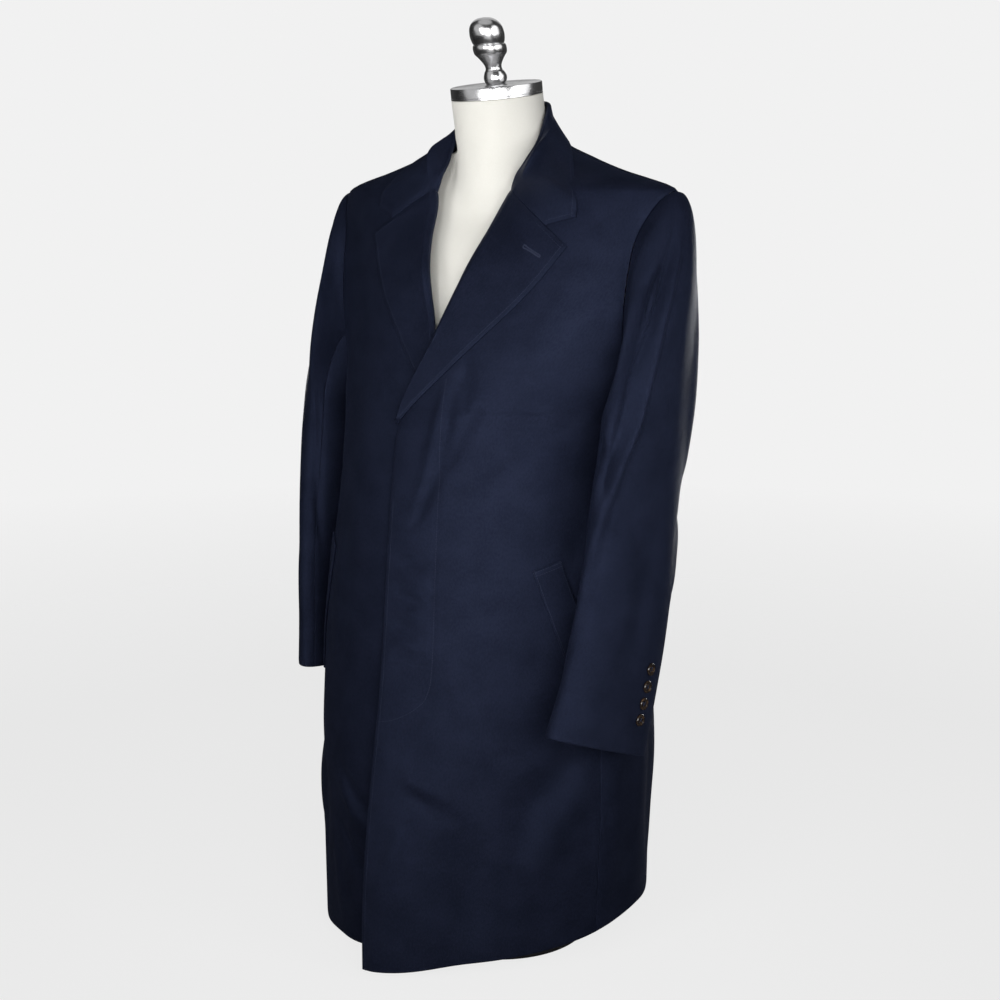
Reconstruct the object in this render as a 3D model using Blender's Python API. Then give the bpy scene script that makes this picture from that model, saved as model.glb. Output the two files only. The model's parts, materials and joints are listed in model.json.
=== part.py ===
"""A single-breasted wool overcoat on a limbless tailor's form.

Frame: metres, +Z up, origin on the underside of the base.  The coat's front faces -Y and the
wearer's left is +X.  Each sewn piece is a thin wall of cloth; the pieces share one body surface,
so their seams meet with a constant gap.
"""

import bisect
import math
from collections import namedtuple

import bpy
from mathutils import Vector

# ---- driving sizes -------------------------------------------------------------------------
CLOTH = 0.0022              # thickness of the wool cloth, folded edge and interlining included
SEAM = 0.0003               # gap between two pieces that touch
HEM = 0.015                 # height of the hem at the front edge
HEM_RISE_FADE = 0.45        # height at which the rise has died out
RIGHT_TUCK = 0.011          # the right front's hem hangs this much higher near its edge
SHOULDER = 0.955            # height of the shoulder tip
NECK = 1.015                # height of the neck seam
ARMPIT = 0.700              # height of the bottom of the armhole
SIDE_SEAM_FORWARD = 23.0    # degrees by which the side seam lies further front in the skirt
BREAK = 0.682               # height where the lapel starts to roll
BACK_LIFT = 0.010           # the neck seam climbs this much towards the centre back

# one row for each height of the body: half width, x of its middle, y of centre front, y of
# centre back, y of the widest point, and how much y grows per metre of x
Section = namedtuple("Section", "level width middle front back side skew")
BODY = [
    Section(0.015, 0.211, -0.006, -0.210, 0.150, -0.020, 0.12),
    Section(0.120, 0.214, -0.006, -0.211, 0.147, -0.020, 0.11),
    Section(0.250, 0.217, -0.005, -0.210, 0.140, -0.020, 0.10),
    Section(0.380, 0.215, -0.004, -0.203, 0.130, -0.020, 0.09),
    Section(0.500, 0.207, -0.004, -0.192, 0.115, -0.018, 0.08),
    Section(0.600, 0.197, -0.003, -0.181, 0.100, -0.014, 0.08),
    Section(0.680, 0.199, -0.002, -0.168, 0.100, -0.008, 0.06),
    Section(0.750, 0.217, 0.000, -0.148, 0.108, 0.000, 0.02),
    Section(0.820, 0.240, 0.000, -0.124, 0.113, 0.005, 0.00),
    Section(0.880, 0.250, 0.000, -0.101, 0.108, 0.008, 0.00),
    Section(0.920, 0.250, 0.000, -0.086, 0.100, 0.009, 0.00),
    Section(0.955, 0.241, 0.000, -0.072, 0.092, 0.008, 0.00),
    Section(0.983, 0.158, 0.000, -0.059, 0.081, 0.006, 0.00),
    Section(1.000, 0.112, 0.000, -0.048, 0.074, 0.005, 0.00),
    Section(1.015, 0.078, 0.000, -0.040, 0.067, 0.004, 0.00),
    Section(1.075, 0.064, 0.000, -0.030, 0.070, 0.004, 0.00),
]
SIDE_DROP = 1.12            # above 1 the quarters of a section are flatter than an ellipse
# how much higher than at the front edge the hem hangs, round the wearer's left
Rise = namedtuple("Rise", "angle up")
HEM_RISE = [
    Rise(-180, 0.060), Rise(-90, 0.008), Rise(-30, 0.002), Rise(-10, 0.0), Rise(0, 0.003),
    Rise(25, 0.018), Rise(60, 0.038), Rise(95, 0.060), Rise(180, 0.060),
]

# the turning line of a front: x of its roll line or, below the break, of its free edge
Edge = namedtuple("Edge", "level x")
ROLL = [
    Edge(0.015, -0.039), Edge(0.200, -0.036), Edge(0.450, -0.031), Edge(0.682, -0.030),
    Edge(0.796, 0.005), Edge(0.900, 0.037), Edge(0.962, 0.0525), Edge(0.972, 0.0620),
    Edge(0.985, 0.0690), Edge(1.000, 0.0730), Edge(1.015, 0.0735),
]
# the outer edge of a lapel
LAPEL = [
    Edge(0.682, -0.030), Edge(0.707, -0.009), Edge(0.7375, 0.020), Edge(0.781, 0.060),
    Edge(0.844, 0.1155), Edge(0.892, 0.1465),
]
GORGE = Edge(0.962, 0.0525)
NOTCH = Edge(0.916, 0.1165)
COLLAR_POINT = Edge(0.925, 0.1515)
RIGHT_NOTCH_IN = 0.0070      # the right notch, tip and collar point lie this much further in
RIGHT_TIP_IN = 0.0075
RIGHT_POINT_IN = 0.0120
RIGHT_ROLL_OUT = 0.0044      # the right roll line lies this much further out at its head
RIGHT_COLLAR_TURN = 3.0      # degrees by which the fall's right edge lies nearer the front

# the armhole, an oval in height and y
ARMHOLE_FRONT = 0.058
ARMHOLE_BACK = 0.064

# the arm's line for the wearer's left sleeve: centre, half depth fore and aft, half thickness,
# how far the front of the ring turns inwards, in degrees, and how much further forward and
# further out the left sleeve hangs than the right one, halved
Ring = namedtuple("Ring", "share x y z depth thick turn ahead apart")
ARM = [
    Ring(0.0, 0.229, -0.018, 0.800, 0.084, 0.046, 0, 0.004, 0.007),
    Ring(0.2, 0.2370, -0.024, 0.690, 0.081, 0.0325, 2, 0.018, -0.002),
    Ring(0.4, 0.2347, -0.0375, 0.590, 0.079, 0.031, 5, 0.0165, -0.0057),
    Ring(0.6, 0.2374, -0.0551, 0.480, 0.077, 0.029, 9, 0.0189, -0.0084),
    Ring(0.8, 0.2386, -0.0693, 0.395, 0.077, 0.028, 13, 0.0297, -0.0116),
    Ring(1.0, 0.2374, -0.0847, 0.322, 0.079, 0.027, 16, 0.0393, -0.0144),
]
RIGHT_ARM_SHORTER = 0.012   # the right cuff ends this much higher
SLEEVE_TOP_ROWS = 8
SLEEVE_LOW_ROWS = 9
SLEEVE_SEAM = 0.775         # armhole height at which both sleeve seams start
HEAD_END = 0.20             # share of the arm's line where the sleeve head has become a tube
HEAD_LEAVE_TOP = 0.42       # how far the sleeve head stands out at the shoulder and the armpit
HEAD_LEAVE_LOW = 0.32
ARM_LENGTH = 0.385          # length of the arm's line, for placing the buttons

CUFF_BUTTONS = 4
CUFF_FIRST = 0.042          # lowest button above the cuff, and the step to the next
CUFF_STEP = 0.0187
CUFF_BUTTON_AROUND = 116.0
BUTTON_RADIUS = 0.0075
BUTTON_THICK = 0.0030

# half of the collar from the centre back (0) to its front end (1): the crest of its fold, the
# body angle and level of the fall's outer edge, how straight the fall drops there, and how
# much the fold turns from standing up to lying on the chest
Collar = namedtuple("Collar", "share x y z angle level straight lying")
COLLAR = [
    Collar(0.000, 0.0000, 0.0585, 1.0650, 180.0, 0.996, 1.0, 0.0),
    Collar(0.128, 0.0240, 0.0535, 1.0640, 160.0, 1.000, 1.0, 0.0),
    Collar(0.246, 0.0424, 0.0405, 1.0610, 137.0, 1.005, 1.0, 0.0),
    Collar(0.338, 0.0520, 0.0270, 1.0550, 118.0, 1.0065, 1.0, 0.0),
    Collar(0.439, 0.0595, 0.0115, 1.0460, 98.0, 1.006, 1.0, 0.0),
    Collar(0.516, 0.0622, 0.0020, 1.0350, 82.0, 1.002, 0.7, 0.0),
    Collar(0.595, 0.0625, -0.0060, 1.0220, 67.0, 0.994, 0.35, 0.0),
    Collar(0.678, 0.0615, -0.0150, 1.0090, 55.0, 0.986, 0.1, 0.1),
    Collar(0.754, 0.0585, -0.0235, 0.9975, 46.0, 0.976, 0.0, 0.25),
    Collar(0.832, 0.0568, -0.0330, 0.9860, 39.0, 0.963, 0.0, 0.4),
    Collar(0.904, 0.0558, -0.0420, 0.9755, 37.2, 0.946, 0.0, 0.6),
    Collar(1.000, 0.0525, -0.0550, 0.9620, 37.8, 0.925, 0.0, 1.0),
]
COLLAR_HALF_ROWS = 13
COLLAR_LIES = CLOTH + SEAM + 0.0013
FALL_COLUMNS = 5
COLLAR_RADIUS = 0.0022
STAND_CLEAR, STAND_SUNK = 0.0006, 0.0022    # the stand's head below the fold, back and front
FALL_LIFT = 0.0055          # how much higher the fall passes over the neck seam beside the neck
STAND_END = 0.70            # where the stand dies out into the front, as a share of the collar
STAND_THICK = 0.0013
STAND_SAG = 0.0020          # how far the stand hollows towards the neck
STAND_TURN = 0.52           # where the stand leaves the neck seam for the front's edge
NECK_DIP = 0.0195           # how far the fronts sink towards the neck beside the gorge

# the welt of a pocket: angles and levels of its front and back edge, top and bottom
Welt = namedtuple("Welt", "front_angle front_level back_angle back_level")
WELT_TOP = Welt(43.0, 0.520, 53.0, 0.531)
WELT_LOW = Welt(60.0, 0.345, 70.0, 0.356)
WELT_ROWS = 8
WELT_COLUMNS = 3

# the form: an oval trunk and a round neck melted together, about a middle that leans forward
Trunk = namedtuple("Trunk", "level width front back middle neck")
FORM = [
    Trunk(0.260, 0.140, 0.100, 0.085, -0.015, 0.02),
    Trunk(0.272, 0.150, 0.108, 0.092, -0.015, 0.02),
    Trunk(0.400, 0.166, 0.118, 0.098, -0.015, 0.02),
    Trunk(0.500, 0.160, 0.115, 0.090, -0.015, 0.02),
    Trunk(0.600, 0.146, 0.110, 0.080, -0.015, 0.02),
    Trunk(0.700, 0.152, 0.114, 0.085, -0.012, 0.02),
    Trunk(0.780, 0.166, 0.108, 0.092, -0.008, 0.03),
    Trunk(0.840, 0.176, 0.094, 0.094, -0.004, 0.03),
    Trunk(0.890, 0.184, 0.076, 0.086, 0.000, 0.040),
    Trunk(0.925, 0.192, 0.056, 0.072, 0.004, 0.050),
    Trunk(0.947, 0.196, 0.046, 0.058, 0.006, 0.054),
    Trunk(0.960, 0.190, 0.038, 0.050, 0.007, 0.055),
    Trunk(0.997, 0.092, 0.022, 0.036, 0.006, 0.0550),
    Trunk(1.008, 0.058, 0.022, 0.036, 0.005, 0.0550),
    Trunk(1.020, 0.050, 0.030, 0.034, 0.003, 0.0555),
    Trunk(1.040, 0.040, 0.030, 0.030, 0.000, 0.0555),
    Trunk(1.068, 0.040, 0.030, 0.030, -0.006, 0.0553),
]
FORM_SIDES = 40
FORM_LEVELS = [0.26, 0.272, 0.33, 0.40, 0.50, 0.60, 0.70, 0.76, 0.81, 0.85, 0.885, 0.915, 0.94,
               0.955, 0.968, 0.980, 0.991, 1.000, 1.008, 1.018, 1.033, 1.05, 1.068]
SHOULDER_GAP = 0.0007       # the coat's shoulders rest this close to the form's
FORM_SHOULDER = 0.196       # the form's half width at its shoulders
NECK_LEAN = 9.0             # degrees that the neck and its cap lean forward
FINIAL_LEAN = 11.0          # degrees that the finial leans further, above its foot
FINIAL_FOOT = 0.009
CAP_RADIUS = 0.0557
CAP_HEIGHT = 0.0145
FINIAL = [                  # radius and height above the cap
    (0.0, 0.0), (0.0118, 0.0), (0.0135, 0.0040), (0.0139, 0.0090), (0.0118, 0.0145),
    (0.0100, 0.0175), (0.0100, 0.0215), (0.0120, 0.0260), (0.0160, 0.0320), (0.0186, 0.0350),
    (0.0198, 0.0375), (0.0203, 0.0420), (0.0196, 0.0460), (0.0184, 0.0475), (0.0193, 0.0495),
    (0.0205, 0.0545), (0.0207, 0.0600), (0.0193, 0.0675), (0.0150, 0.0737), (0.0085, 0.0773),
    (0.0, 0.0785),
]
BASE_RADIUS = 0.118
BASE_THICK = 0.012
POLE_RADIUS = 0.016

LAPEL_ROWS = 10
LAPEL_COLUMNS = 4
ROLL_STEPS = 4
LAPEL_GAP = 0.0012          # between a front's edge and the lapel that turns back from it
LAPEL_RAISE = 0.012         # the right lapel and collar point sit this much higher

BODY_LEVELS = [0.015, 0.06, 0.12, 0.18, 0.25, 0.32, 0.38, 0.44, 0.50, 0.555, 0.60, 0.645, 0.682,
               0.70, 0.714, 0.74, 0.775, 0.81, 0.845, 0.88, 0.91, 0.935, 0.948, 0.955, 0.968,
               0.983, 0.999, 1.015]
FRONT_COLUMNS = 9
BACK_COLUMNS = 8


# ---- reading the tables --------------------------------------------------------------------
CURVES = {}


def curve(rows, column, key):
    """The knots, values and slopes of one column, worked out once."""
    name = (id(rows), column, key)
    if name not in CURVES:
        xs = [getattr(row, key) for row in rows]
        ys = [getattr(row, column) for row in rows]
        chords = [(ys[k + 1] - ys[k]) / (xs[k + 1] - xs[k]) for k in range(len(xs) - 1)]
        slopes = [chords[0]]
        for before, after in zip(chords, chords[1:]):
            level = before * after <= 0.0
            slopes.append(0.0 if level else 2.0 * before * after / (before + after))
        CURVES[name] = (xs, ys, slopes + [chords[-1]])
    return CURVES[name]


def read(rows, column, at, key="level"):
    """Monotone cubic through one column of a table."""
    xs, ys, slopes = curve(rows, column, key)
    if at <= xs[0]:
        return ys[0]
    if at >= xs[-1]:
        return ys[-1]
    i = bisect.bisect_right(xs, at) - 1
    span = xs[i + 1] - xs[i]
    t = (at - xs[i]) / span
    rise = ys[i] * (1 + 2 * t) * (1 - t) ** 2 + ys[i + 1] * t * t * (3 - 2 * t)
    return rise + span * (slopes[i] * t * (1 - t) ** 2 - slopes[i + 1] * t * t * (1 - t))


def ease(value, low, high):
    """0 below low, 1 above high, smooth between."""
    t = min(1.0, max(0.0, (value - low) / (high - low)))
    return t * t * (3 - 2 * t)


# ---- the body surface ----------------------------------------------------------------------
def plain_body(angle, level):
    """A point of the body: angle in degrees from centre front, + towards the wearer's left."""
    turn = math.radians(angle)
    across, along = math.sin(turn), math.cos(turn)
    side = read(BODY, "side", level)
    reach = read(BODY, "front" if along > 0 else "back", level) - side
    x = read(BODY, "width", level) * across
    y = side + reach * abs(along) ** SIDE_DROP + read(BODY, "skew", level) * x
    rise = read(HEM_RISE, "up", angle, "angle") * (1 - ease(level, HEM, HEM_RISE_FADE))
    lift = BACK_LIFT * max(0.0, -along) ** 2 * ease(level, 0.94, NECK)
    return Vector((x + read(BODY, "middle", level), y, level + rise + lift))


def normal_of(surface, u, v, du, dv):
    """The unit normal of surface(u, v), from small steps."""
    across = surface(u + du, v) - surface(u - du, v)
    up = surface(u, v + dv) - surface(u, v - dv)
    return across.cross(up).normalized()


def body_normal(angle, level):
    low = min(max(level, BODY[0].level + 0.002), BODY[-1].level - 0.002)
    return normal_of(plain_body, angle, low, 0.6, 0.0015)


def body(angle, level, out=0.0):
    return plain_body(angle, level) + body_normal(angle, level) * out


def angle_at(x, level):
    """The front angle at which a section reaches the world's x."""
    share = (x - read(BODY, "middle", level)) / read(BODY, "width", level)
    return math.degrees(math.asin(max(-0.9999, min(0.9999, share))))


def armhole_angle(level, back):
    """Where the armhole cuts the section at this level; the side seam runs on from it."""
    if level >= SHOULDER:
        return 90.0
    if level <= ARMPIT:
        return 90.0 - SIDE_SEAM_FORWARD * (1 - ease(level, 0.42, 0.70))
    middle, half = (SHOULDER + ARMPIT) / 2, (SHOULDER - ARMPIT) / 2
    bow = math.sqrt(max(0.0, 1 - ((level - middle) / half) ** 2))
    reach = read(BODY, "back" if back else "front", level) - read(BODY, "side", level)
    share = (ARMHOLE_BACK if back else ARMHOLE_FRONT) * bow / abs(reach)
    swing = math.degrees(math.asin(min(0.98, share) ** (1 / SIDE_DROP)))
    return 90.0 + swing if back else 90.0 - swing


# ---- how the two fronts lie on each other --------------------------------------------------
def left_out(x, level):
    """The wearer's left front lies over the right one, and its free edge swings forward."""
    over = 0.0020 * (1 - ease(x, 0.03, 0.09)) * (1 - ease(level, 0.78, 0.86))
    swing = 0.026 * (1 - ease(x, -0.035, 0.075)) * (1 - ease(level, 0.05, 0.42))
    return over + swing


def right_out(x, level):
    """The right front sinks under the left one; x is the world's."""
    under = 0.0078 * ease(x, -0.10, -0.02) * (1 - ease(level, 0.80, 0.86))
    swing = 0.016 * ease(x, -0.09, 0.02) * (1 - ease(level, 0.05, 0.42))
    return -under - swing


def roll_line(side, level):
    """x of a front's turning line, counted outwards from the middle."""
    out = RIGHT_ROLL_OUT * ease(level, 0.84, 0.94) if side < 0 else 0.0
    return read(ROLL, "x", level) + out


def gorge_start(side):
    """x at which the gorge seam begins on the turning line."""
    return GORGE.x + (RIGHT_ROLL_OUT if side < 0 else 0.0)


def moved(side, edge, inward):
    return Edge(edge.level, edge.x - inward) if side < 0 else edge


def roll_radius(level):
    return 0.0015 + 0.0015 * ease(level, 0.72, 0.86)


def neck_dip(x, level):
    rising = ease(level, 0.86, 0.965) * (1 - ease(level, 0.975, 1.005))
    return NECK_DIP * rising * max(0.0, min(1.0, (0.155 - abs(x)) / 0.105)) ** 2


def front(side, angle, level, out=0.0):
    """A point of one front: side is +1 for the wearer's left."""
    x = plain_body(side * angle, level).x
    lie = (left_out(x, level) if side > 0 else right_out(x, level)) - neck_dip(x, level)
    tuck = 0.0 if side > 0 else RIGHT_TUCK * ease(x, -0.20, -0.10) * (1 - ease(level, HEM, 0.3))
    return body(side * angle, level, lie + out) + Vector((0.0, 0.0, tuck))


def front_normal(side, angle, level):
    low = min(max(level, HEM + 0.003), NECK - 0.003)
    return normal_of(lambda u, v: front(side, side * u, v), side * angle, low, 0.6, 0.002)


# ---- meshes --------------------------------------------------------------------------------
def material(name, colour, roughness, metallic=0.0):
    made = bpy.data.materials.get(name)
    if made is None:
        made = bpy.data.materials.new(name)
        made.use_nodes = True
        shader = made.node_tree.nodes["Principled BSDF"]
        shader.inputs["Base Color"].default_value = (*colour, 1.0)
        shader.inputs["Roughness"].default_value = roughness
        shader.inputs["Metallic"].default_value = metallic
    return made


def wool():
    return material("navy_wool", (0.010, 0.012, 0.024), 0.85)


def horn():
    return material("dark_horn", (0.075, 0.045, 0.028), 0.3)


def painted():
    return material("black_enamel", (0.02, 0.02, 0.022), 0.4)


def linen():
    return material("form_linen", (0.80, 0.78, 0.72), 0.8)


def polished():
    return material("polished_metal", (0.75, 0.76, 0.78), 0.22, 1.0)


def add_mesh(name, points, faces, finish, flip=False):
    mesh = bpy.data.meshes.new(name)
    if flip:
        faces = [tuple(reversed(face)) for face in faces]
    mesh.from_pydata([tuple(p) for p in points], [], faces)
    mesh.materials.append(finish)
    mesh.validate()
    mesh.shade_smooth()
    mesh.set_sharp_from_angle(angle=math.radians(40))
    thing = bpy.data.objects.new(name, mesh)
    bpy.context.scene.collection.objects.link(thing)
    return thing


def wall(name, grid, normals, finish=None, flip=False, thickness=CLOTH):
    """A closed wall: grid is its outer face, and the inner face lies thickness behind it."""
    rows, columns = len(grid), len(grid[0])
    outer = [p for row in grid for p in row]
    inner = [grid[r][c] - normals[r][c] * thickness for r in range(rows) for c in range(columns)]
    shift = rows * columns

    def at(r, c):
        return r * columns + c

    faces = []
    for r in range(rows - 1):
        for c in range(columns - 1):
            quad = (at(r, c), at(r, c + 1), at(r + 1, c + 1), at(r + 1, c))
            faces.append(quad)
            faces.append(tuple(shift + k for k in reversed(quad)))
    rim = [at(0, c) for c in range(columns)] + [at(r, columns - 1) for r in range(1, rows)]
    rim += [at(rows - 1, c) for c in reversed(range(columns - 1))]
    rim += [at(r, 0) for r in reversed(range(1, rows - 1))]
    for here, after in zip(rim, rim[1:] + rim[:1]):
        faces.append((here, shift + here, shift + after, after))
    return add_mesh(name, outer + inner, faces, finish or wool(), flip)


# ---- body panels ---------------------------------------------------------------------------
def seam_swing(level, angle):
    """Half a seam's gap, as an angle of the section at this level."""
    step = plain_body(angle + 0.5, level) - plain_body(angle - 0.5, level)
    return 0.5 * SEAM / step.length


def make_front(side):
    grid, normals = [], []
    for level in BODY_LEVELS:
        edge = roll_line(side, level)
        if level >= BREAK:
            edge += roll_radius(level) + LAPEL_GAP
        start = side * angle_at(side * edge, level)
        seam = armhole_angle(level, False)
        stop = seam - seam_swing(level, seam)
        line = [start + (stop - start) * c / FRONT_COLUMNS for c in range(FRONT_COLUMNS + 1)]
        grid.append([front(side, angle, level) for angle in line])
        row = [front_normal(side, angle, level) for angle in line]
        row[-1] = body_normal(side * line[-1], level)
        normals.append(row)
    name = "left_front" if side > 0 else "right_front"
    return wall(name, grid, normals, flip=side < 0)


def make_back(side):
    grid, normals = [], []
    for level in BODY_LEVELS:
        seam = armhole_angle(level, True)
        start = seam + seam_swing(level, seam)
        stop = 180.0 - seam_swing(level, 180.0)
        line = [start + (stop - start) * c / BACK_COLUMNS for c in range(BACK_COLUMNS + 1)]
        grid.append([body(side * angle, level) for angle in line])
        row = [body_normal(side * angle, level) for angle in line]
        row[0] = body_normal(side * line[0], level)
        normals.append(row)
    name = "left_back" if side > 0 else "right_back"
    return wall(name, grid, normals, flip=side < 0)


# ---- sleeves -------------------------------------------------------------------------------
def arm_line(side, share):
    """The arm's centre at 0..1 down its table."""
    x = side * read(ARM, "x", share, "share") + read(ARM, "apart", share, "share")
    y = read(ARM, "y", share, "share") - side * read(ARM, "ahead", share, "share")
    up = RIGHT_ARM_SHORTER * share if side < 0 else 0.0
    return Vector((x, y, read(ARM, "z", share, "share") + up))


def arm_point(side, around, share):
    """A point of the lower sleeve: around in degrees from the front, over the outside."""
    down = arm_line(side, min(1.0, share + 0.05)) - arm_line(side, max(0.0, share - 0.05))
    down.normalize()
    turn = math.radians(read(ARM, "turn", share, "share"))
    ahead = Vector((-side * math.sin(turn), -math.cos(turn), 0.0))
    ahead = (ahead - down * ahead.dot(down)).normalized()
    outward = ahead.cross(down) * side
    swing = math.radians(around)
    ahead *= read(ARM, "depth", share, "share") * math.cos(swing)
    outward *= read(ARM, "thick", share, "share") * math.sin(swing)
    return arm_line(side, share) + ahead + outward


def armhole_point(side, around):
    """The armhole's seam as body angle and level: 90 at the shoulder tip, 270 at the armpit."""
    swing = math.radians(around)
    middle, half = (SHOULDER + ARMPIT) / 2, (SHOULDER - ARMPIT) / 2
    level = middle + half * math.sin(swing)
    level = min(SHOULDER - 0.0001, max(ARMPIT + 0.0001, level))
    return side * armhole_angle(level, math.cos(swing) < 0), level


def sleeve_point(side, around, along):
    """The whole sleeve: along runs 0..1 over the head and 1..2 down the arm."""
    if along >= 1.0:
        return arm_point(side, around, HEAD_END + (1 - HEAD_END) * (along - 1.0))
    swing = math.radians(around)
    start = plain_body(*armhole_point(side, around))
    start += Vector((side, math.cos(swing), -math.sin(swing))) * (2.7 * SEAM)
    finish = arm_point(side, around, HEAD_END)
    down = arm_point(side, around, HEAD_END + 0.04) - finish
    span = (finish - start).length
    top = 0.5 + 0.5 * math.sin(swing)
    leave = Vector((side, -0.25 * math.cos(swing), 0.05)).normalized() * span
    leave *= HEAD_LEAVE_LOW + (HEAD_LEAVE_TOP - HEAD_LEAVE_LOW) * top
    arrive = down.normalized() * span * (1.0 + 0.35 * top)
    t = along
    return (start * (1 + 2 * t) * (1 - t) ** 2 + finish * t * t * (3 - 2 * t)
            + leave * t * (1 - t) ** 2 - arrive * t * t * (1 - t))


def sleeve_normal(side, around, along):
    if along <= 0.0:
        return body_normal(*armhole_point(side, around))
    step = min(0.01, along)
    found = normal_of(lambda u, v: sleeve_point(side, u, v), around, along, 1.0, -step)
    return found * side


def sleeve_lines(upper):
    """The angles round the sleeve that meet the body's rows at the armhole."""
    middle, half = (SHOULDER + ARMPIT) / 2, (SHOULDER - ARMPIT) / 2
    levels = [level for level in BODY_LEVELS if ARMPIT <= level <= SHOULDER]
    shares = [max(-1.0, min(1.0, (level - middle) / half)) for level in levels]
    swings = [math.degrees(math.asin(share)) for share in shares]
    seam = swings[levels.index(SLEEVE_SEAM)]
    if upper:
        rising = [a for a in swings if a >= seam]
        return rising + [180 - a for a in reversed(rising[:-1])]
    falling = [180 - a for a in reversed(swings) if a <= seam]
    return falling + [360 + a for a in swings[1:] if a <= seam]


def make_sleeve(side, upper):
    grid, normals = [], []
    alongs = [k / SLEEVE_TOP_ROWS for k in range(SLEEVE_TOP_ROWS)]
    alongs += [1.0 + k / SLEEVE_LOW_ROWS for k in range(SLEEVE_LOW_ROWS + 1)]
    for along in alongs:
        line = sleeve_lines(upper)
        first = sleeve_point(side, line[0], along)
        step = (sleeve_point(side, line[0] + 1, along) - first).length
        line[0] += 0.9 * SEAM / step
        line[-1] -= 0.9 * SEAM / step
        grid.append([sleeve_point(side, a, along) for a in line])
        normals.append([sleeve_normal(side, a, along) for a in line])
    name = name_of(side, "top_sleeve" if upper else "under_sleeve")
    return wall(name, grid, normals, flip=side > 0)


def make_cuff_buttons(side):
    """Four flat buttons in a row beside the back seam, the lowest nearest the cuff."""
    for number in range(CUFF_BUTTONS):
        share = 1.0 - (CUFF_FIRST + CUFF_STEP * number) / ARM_LENGTH
        seat = arm_point(side, CUFF_BUTTON_AROUND, share)
        out = sleeve_normal(side, CUFF_BUTTON_AROUND, 1 + (share - HEAD_END) / (1 - HEAD_END))
        name = name_of(side, "cuff_button_%d" % (number + 1))
        profile = [(0.0, 0.0), (0.72, 0.0), (1.0, 0.35), (1.0, 0.75), (0.86, 1.0), (0.0, 1.0)]
        sizes = [(r * BUTTON_RADIUS, SEAM + 0.0003 + z * BUTTON_THICK) for r, z in profile]
        turned(name, sizes, 18, seat, out, horn())


# ---- lapels --------------------------------------------------------------------------------
def turned_edge(side, x, level, radius, k):
    """Step k of the half turn that a front's edge makes round its turning line."""
    swing = math.pi * k / ROLL_STEPS
    x += radius * (1 - math.sin(swing))
    out = radius - CLOTH / 2 - (radius + CLOTH / 2) * math.cos(swing)
    return front(side, side * angle_at(side * x, level), level, out)


def gorge_line(side, q, beyond):
    """Along the gorge seam to the notch at q = 0.6, then to the point called beyond."""
    start = Edge(GORGE.level, gorge_start(side) + COLLAR_RADIUS)
    notch = moved(side, NOTCH, RIGHT_NOTCH_IN)
    low, high, t = (start, notch, q / 0.6) if q <= 0.6 else (notch, beyond, (q - 0.6) / 0.4)
    raised = LAPEL_RAISE * q if side < 0 else 0.0
    return low.x + (high.x - low.x) * t, low.level + (high.level - low.level) * t + raised


def over_chest(side, x, level, q):
    """A point of a turned-back piece, q = 0 at its fold and 1 at its outer edge."""
    out = COLLAR_LIES + (2 * roll_radius(level) - 0.001) * (1 - q) ** 2
    return front(side, side * angle_at(side * x, level), level, out)


def make_lapel(side):
    """The lapel turns on its roll line and lies on the front, outside the front's own wall."""
    grid = []
    tip = moved(side, Edge(LAPEL[-1].level, LAPEL[-1].x), RIGHT_TIP_IN)
    foot, head = BREAK + 0.014, GORGE.level - 0.0009
    for r in range(LAPEL_ROWS + 1):
        share = r / LAPEL_ROWS
        level = foot + (head - foot) * share
        roll = roll_line(side, level)
        row = [turned_edge(side, roll, level, roll_radius(level), k)
               for k in range(ROLL_STEPS + 1)]
        edge = foot + 0.002 + (tip.level - foot - 0.002) * share ** 0.85
        for k in range(1, LAPEL_COLUMNS + 1):
            q = k / LAPEL_COLUMNS
            start = roll + roll_radius(level)
            far = read(LAPEL, "x", edge)
            far -= RIGHT_TIP_IN * ease(edge, 0.78, 0.892) if side < 0 else 0.0
            x = start + (far - start) * q
            up = level + (edge - level) * q + (LAPEL_RAISE * q * share if side < 0 else 0.0)
            if r == LAPEL_ROWS:
                x, up = gorge_line(side, q, tip)
                up -= 0.0009
            row.append(over_chest(side, x, up, q))
        grid.append(row)
    return wall(name_of(side, "lapel"), grid, folded_normals(grid, side), flip=side < 0)


# ---- collar --------------------------------------------------------------------------------
def collar_crest(side, share):
    """The fold's crest, and the directions in which it points and in which its inside lies."""
    crest = Vector([read(COLLAR, axis, share, "share") for axis in "xyz"])
    crest.x *= side
    inward = Vector((-crest.x, 0.005 - crest.y, 0.0)).normalized()
    rising = Vector((0, 0, 0.95)) + inward * 0.31
    inside = inward * 0.95 - Vector((0, 0, 0.31))
    level = min(crest.z, NECK - 0.001)
    angle = side * angle_at(crest.x, level)
    out = body_normal(side * angle, level)
    across = (front(side, angle + 1, level) - front(side, angle - 1, level)).normalized()
    lying = read(COLLAR, "lying", share, "share")
    rising = (rising.normalized() * (1 - lying) - across * lying).normalized()
    inside = inside.normalized() * (1 - lying) - out * lying
    inside = (inside - rising * inside.dot(rising)).normalized()
    return crest, rising, inside


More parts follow.
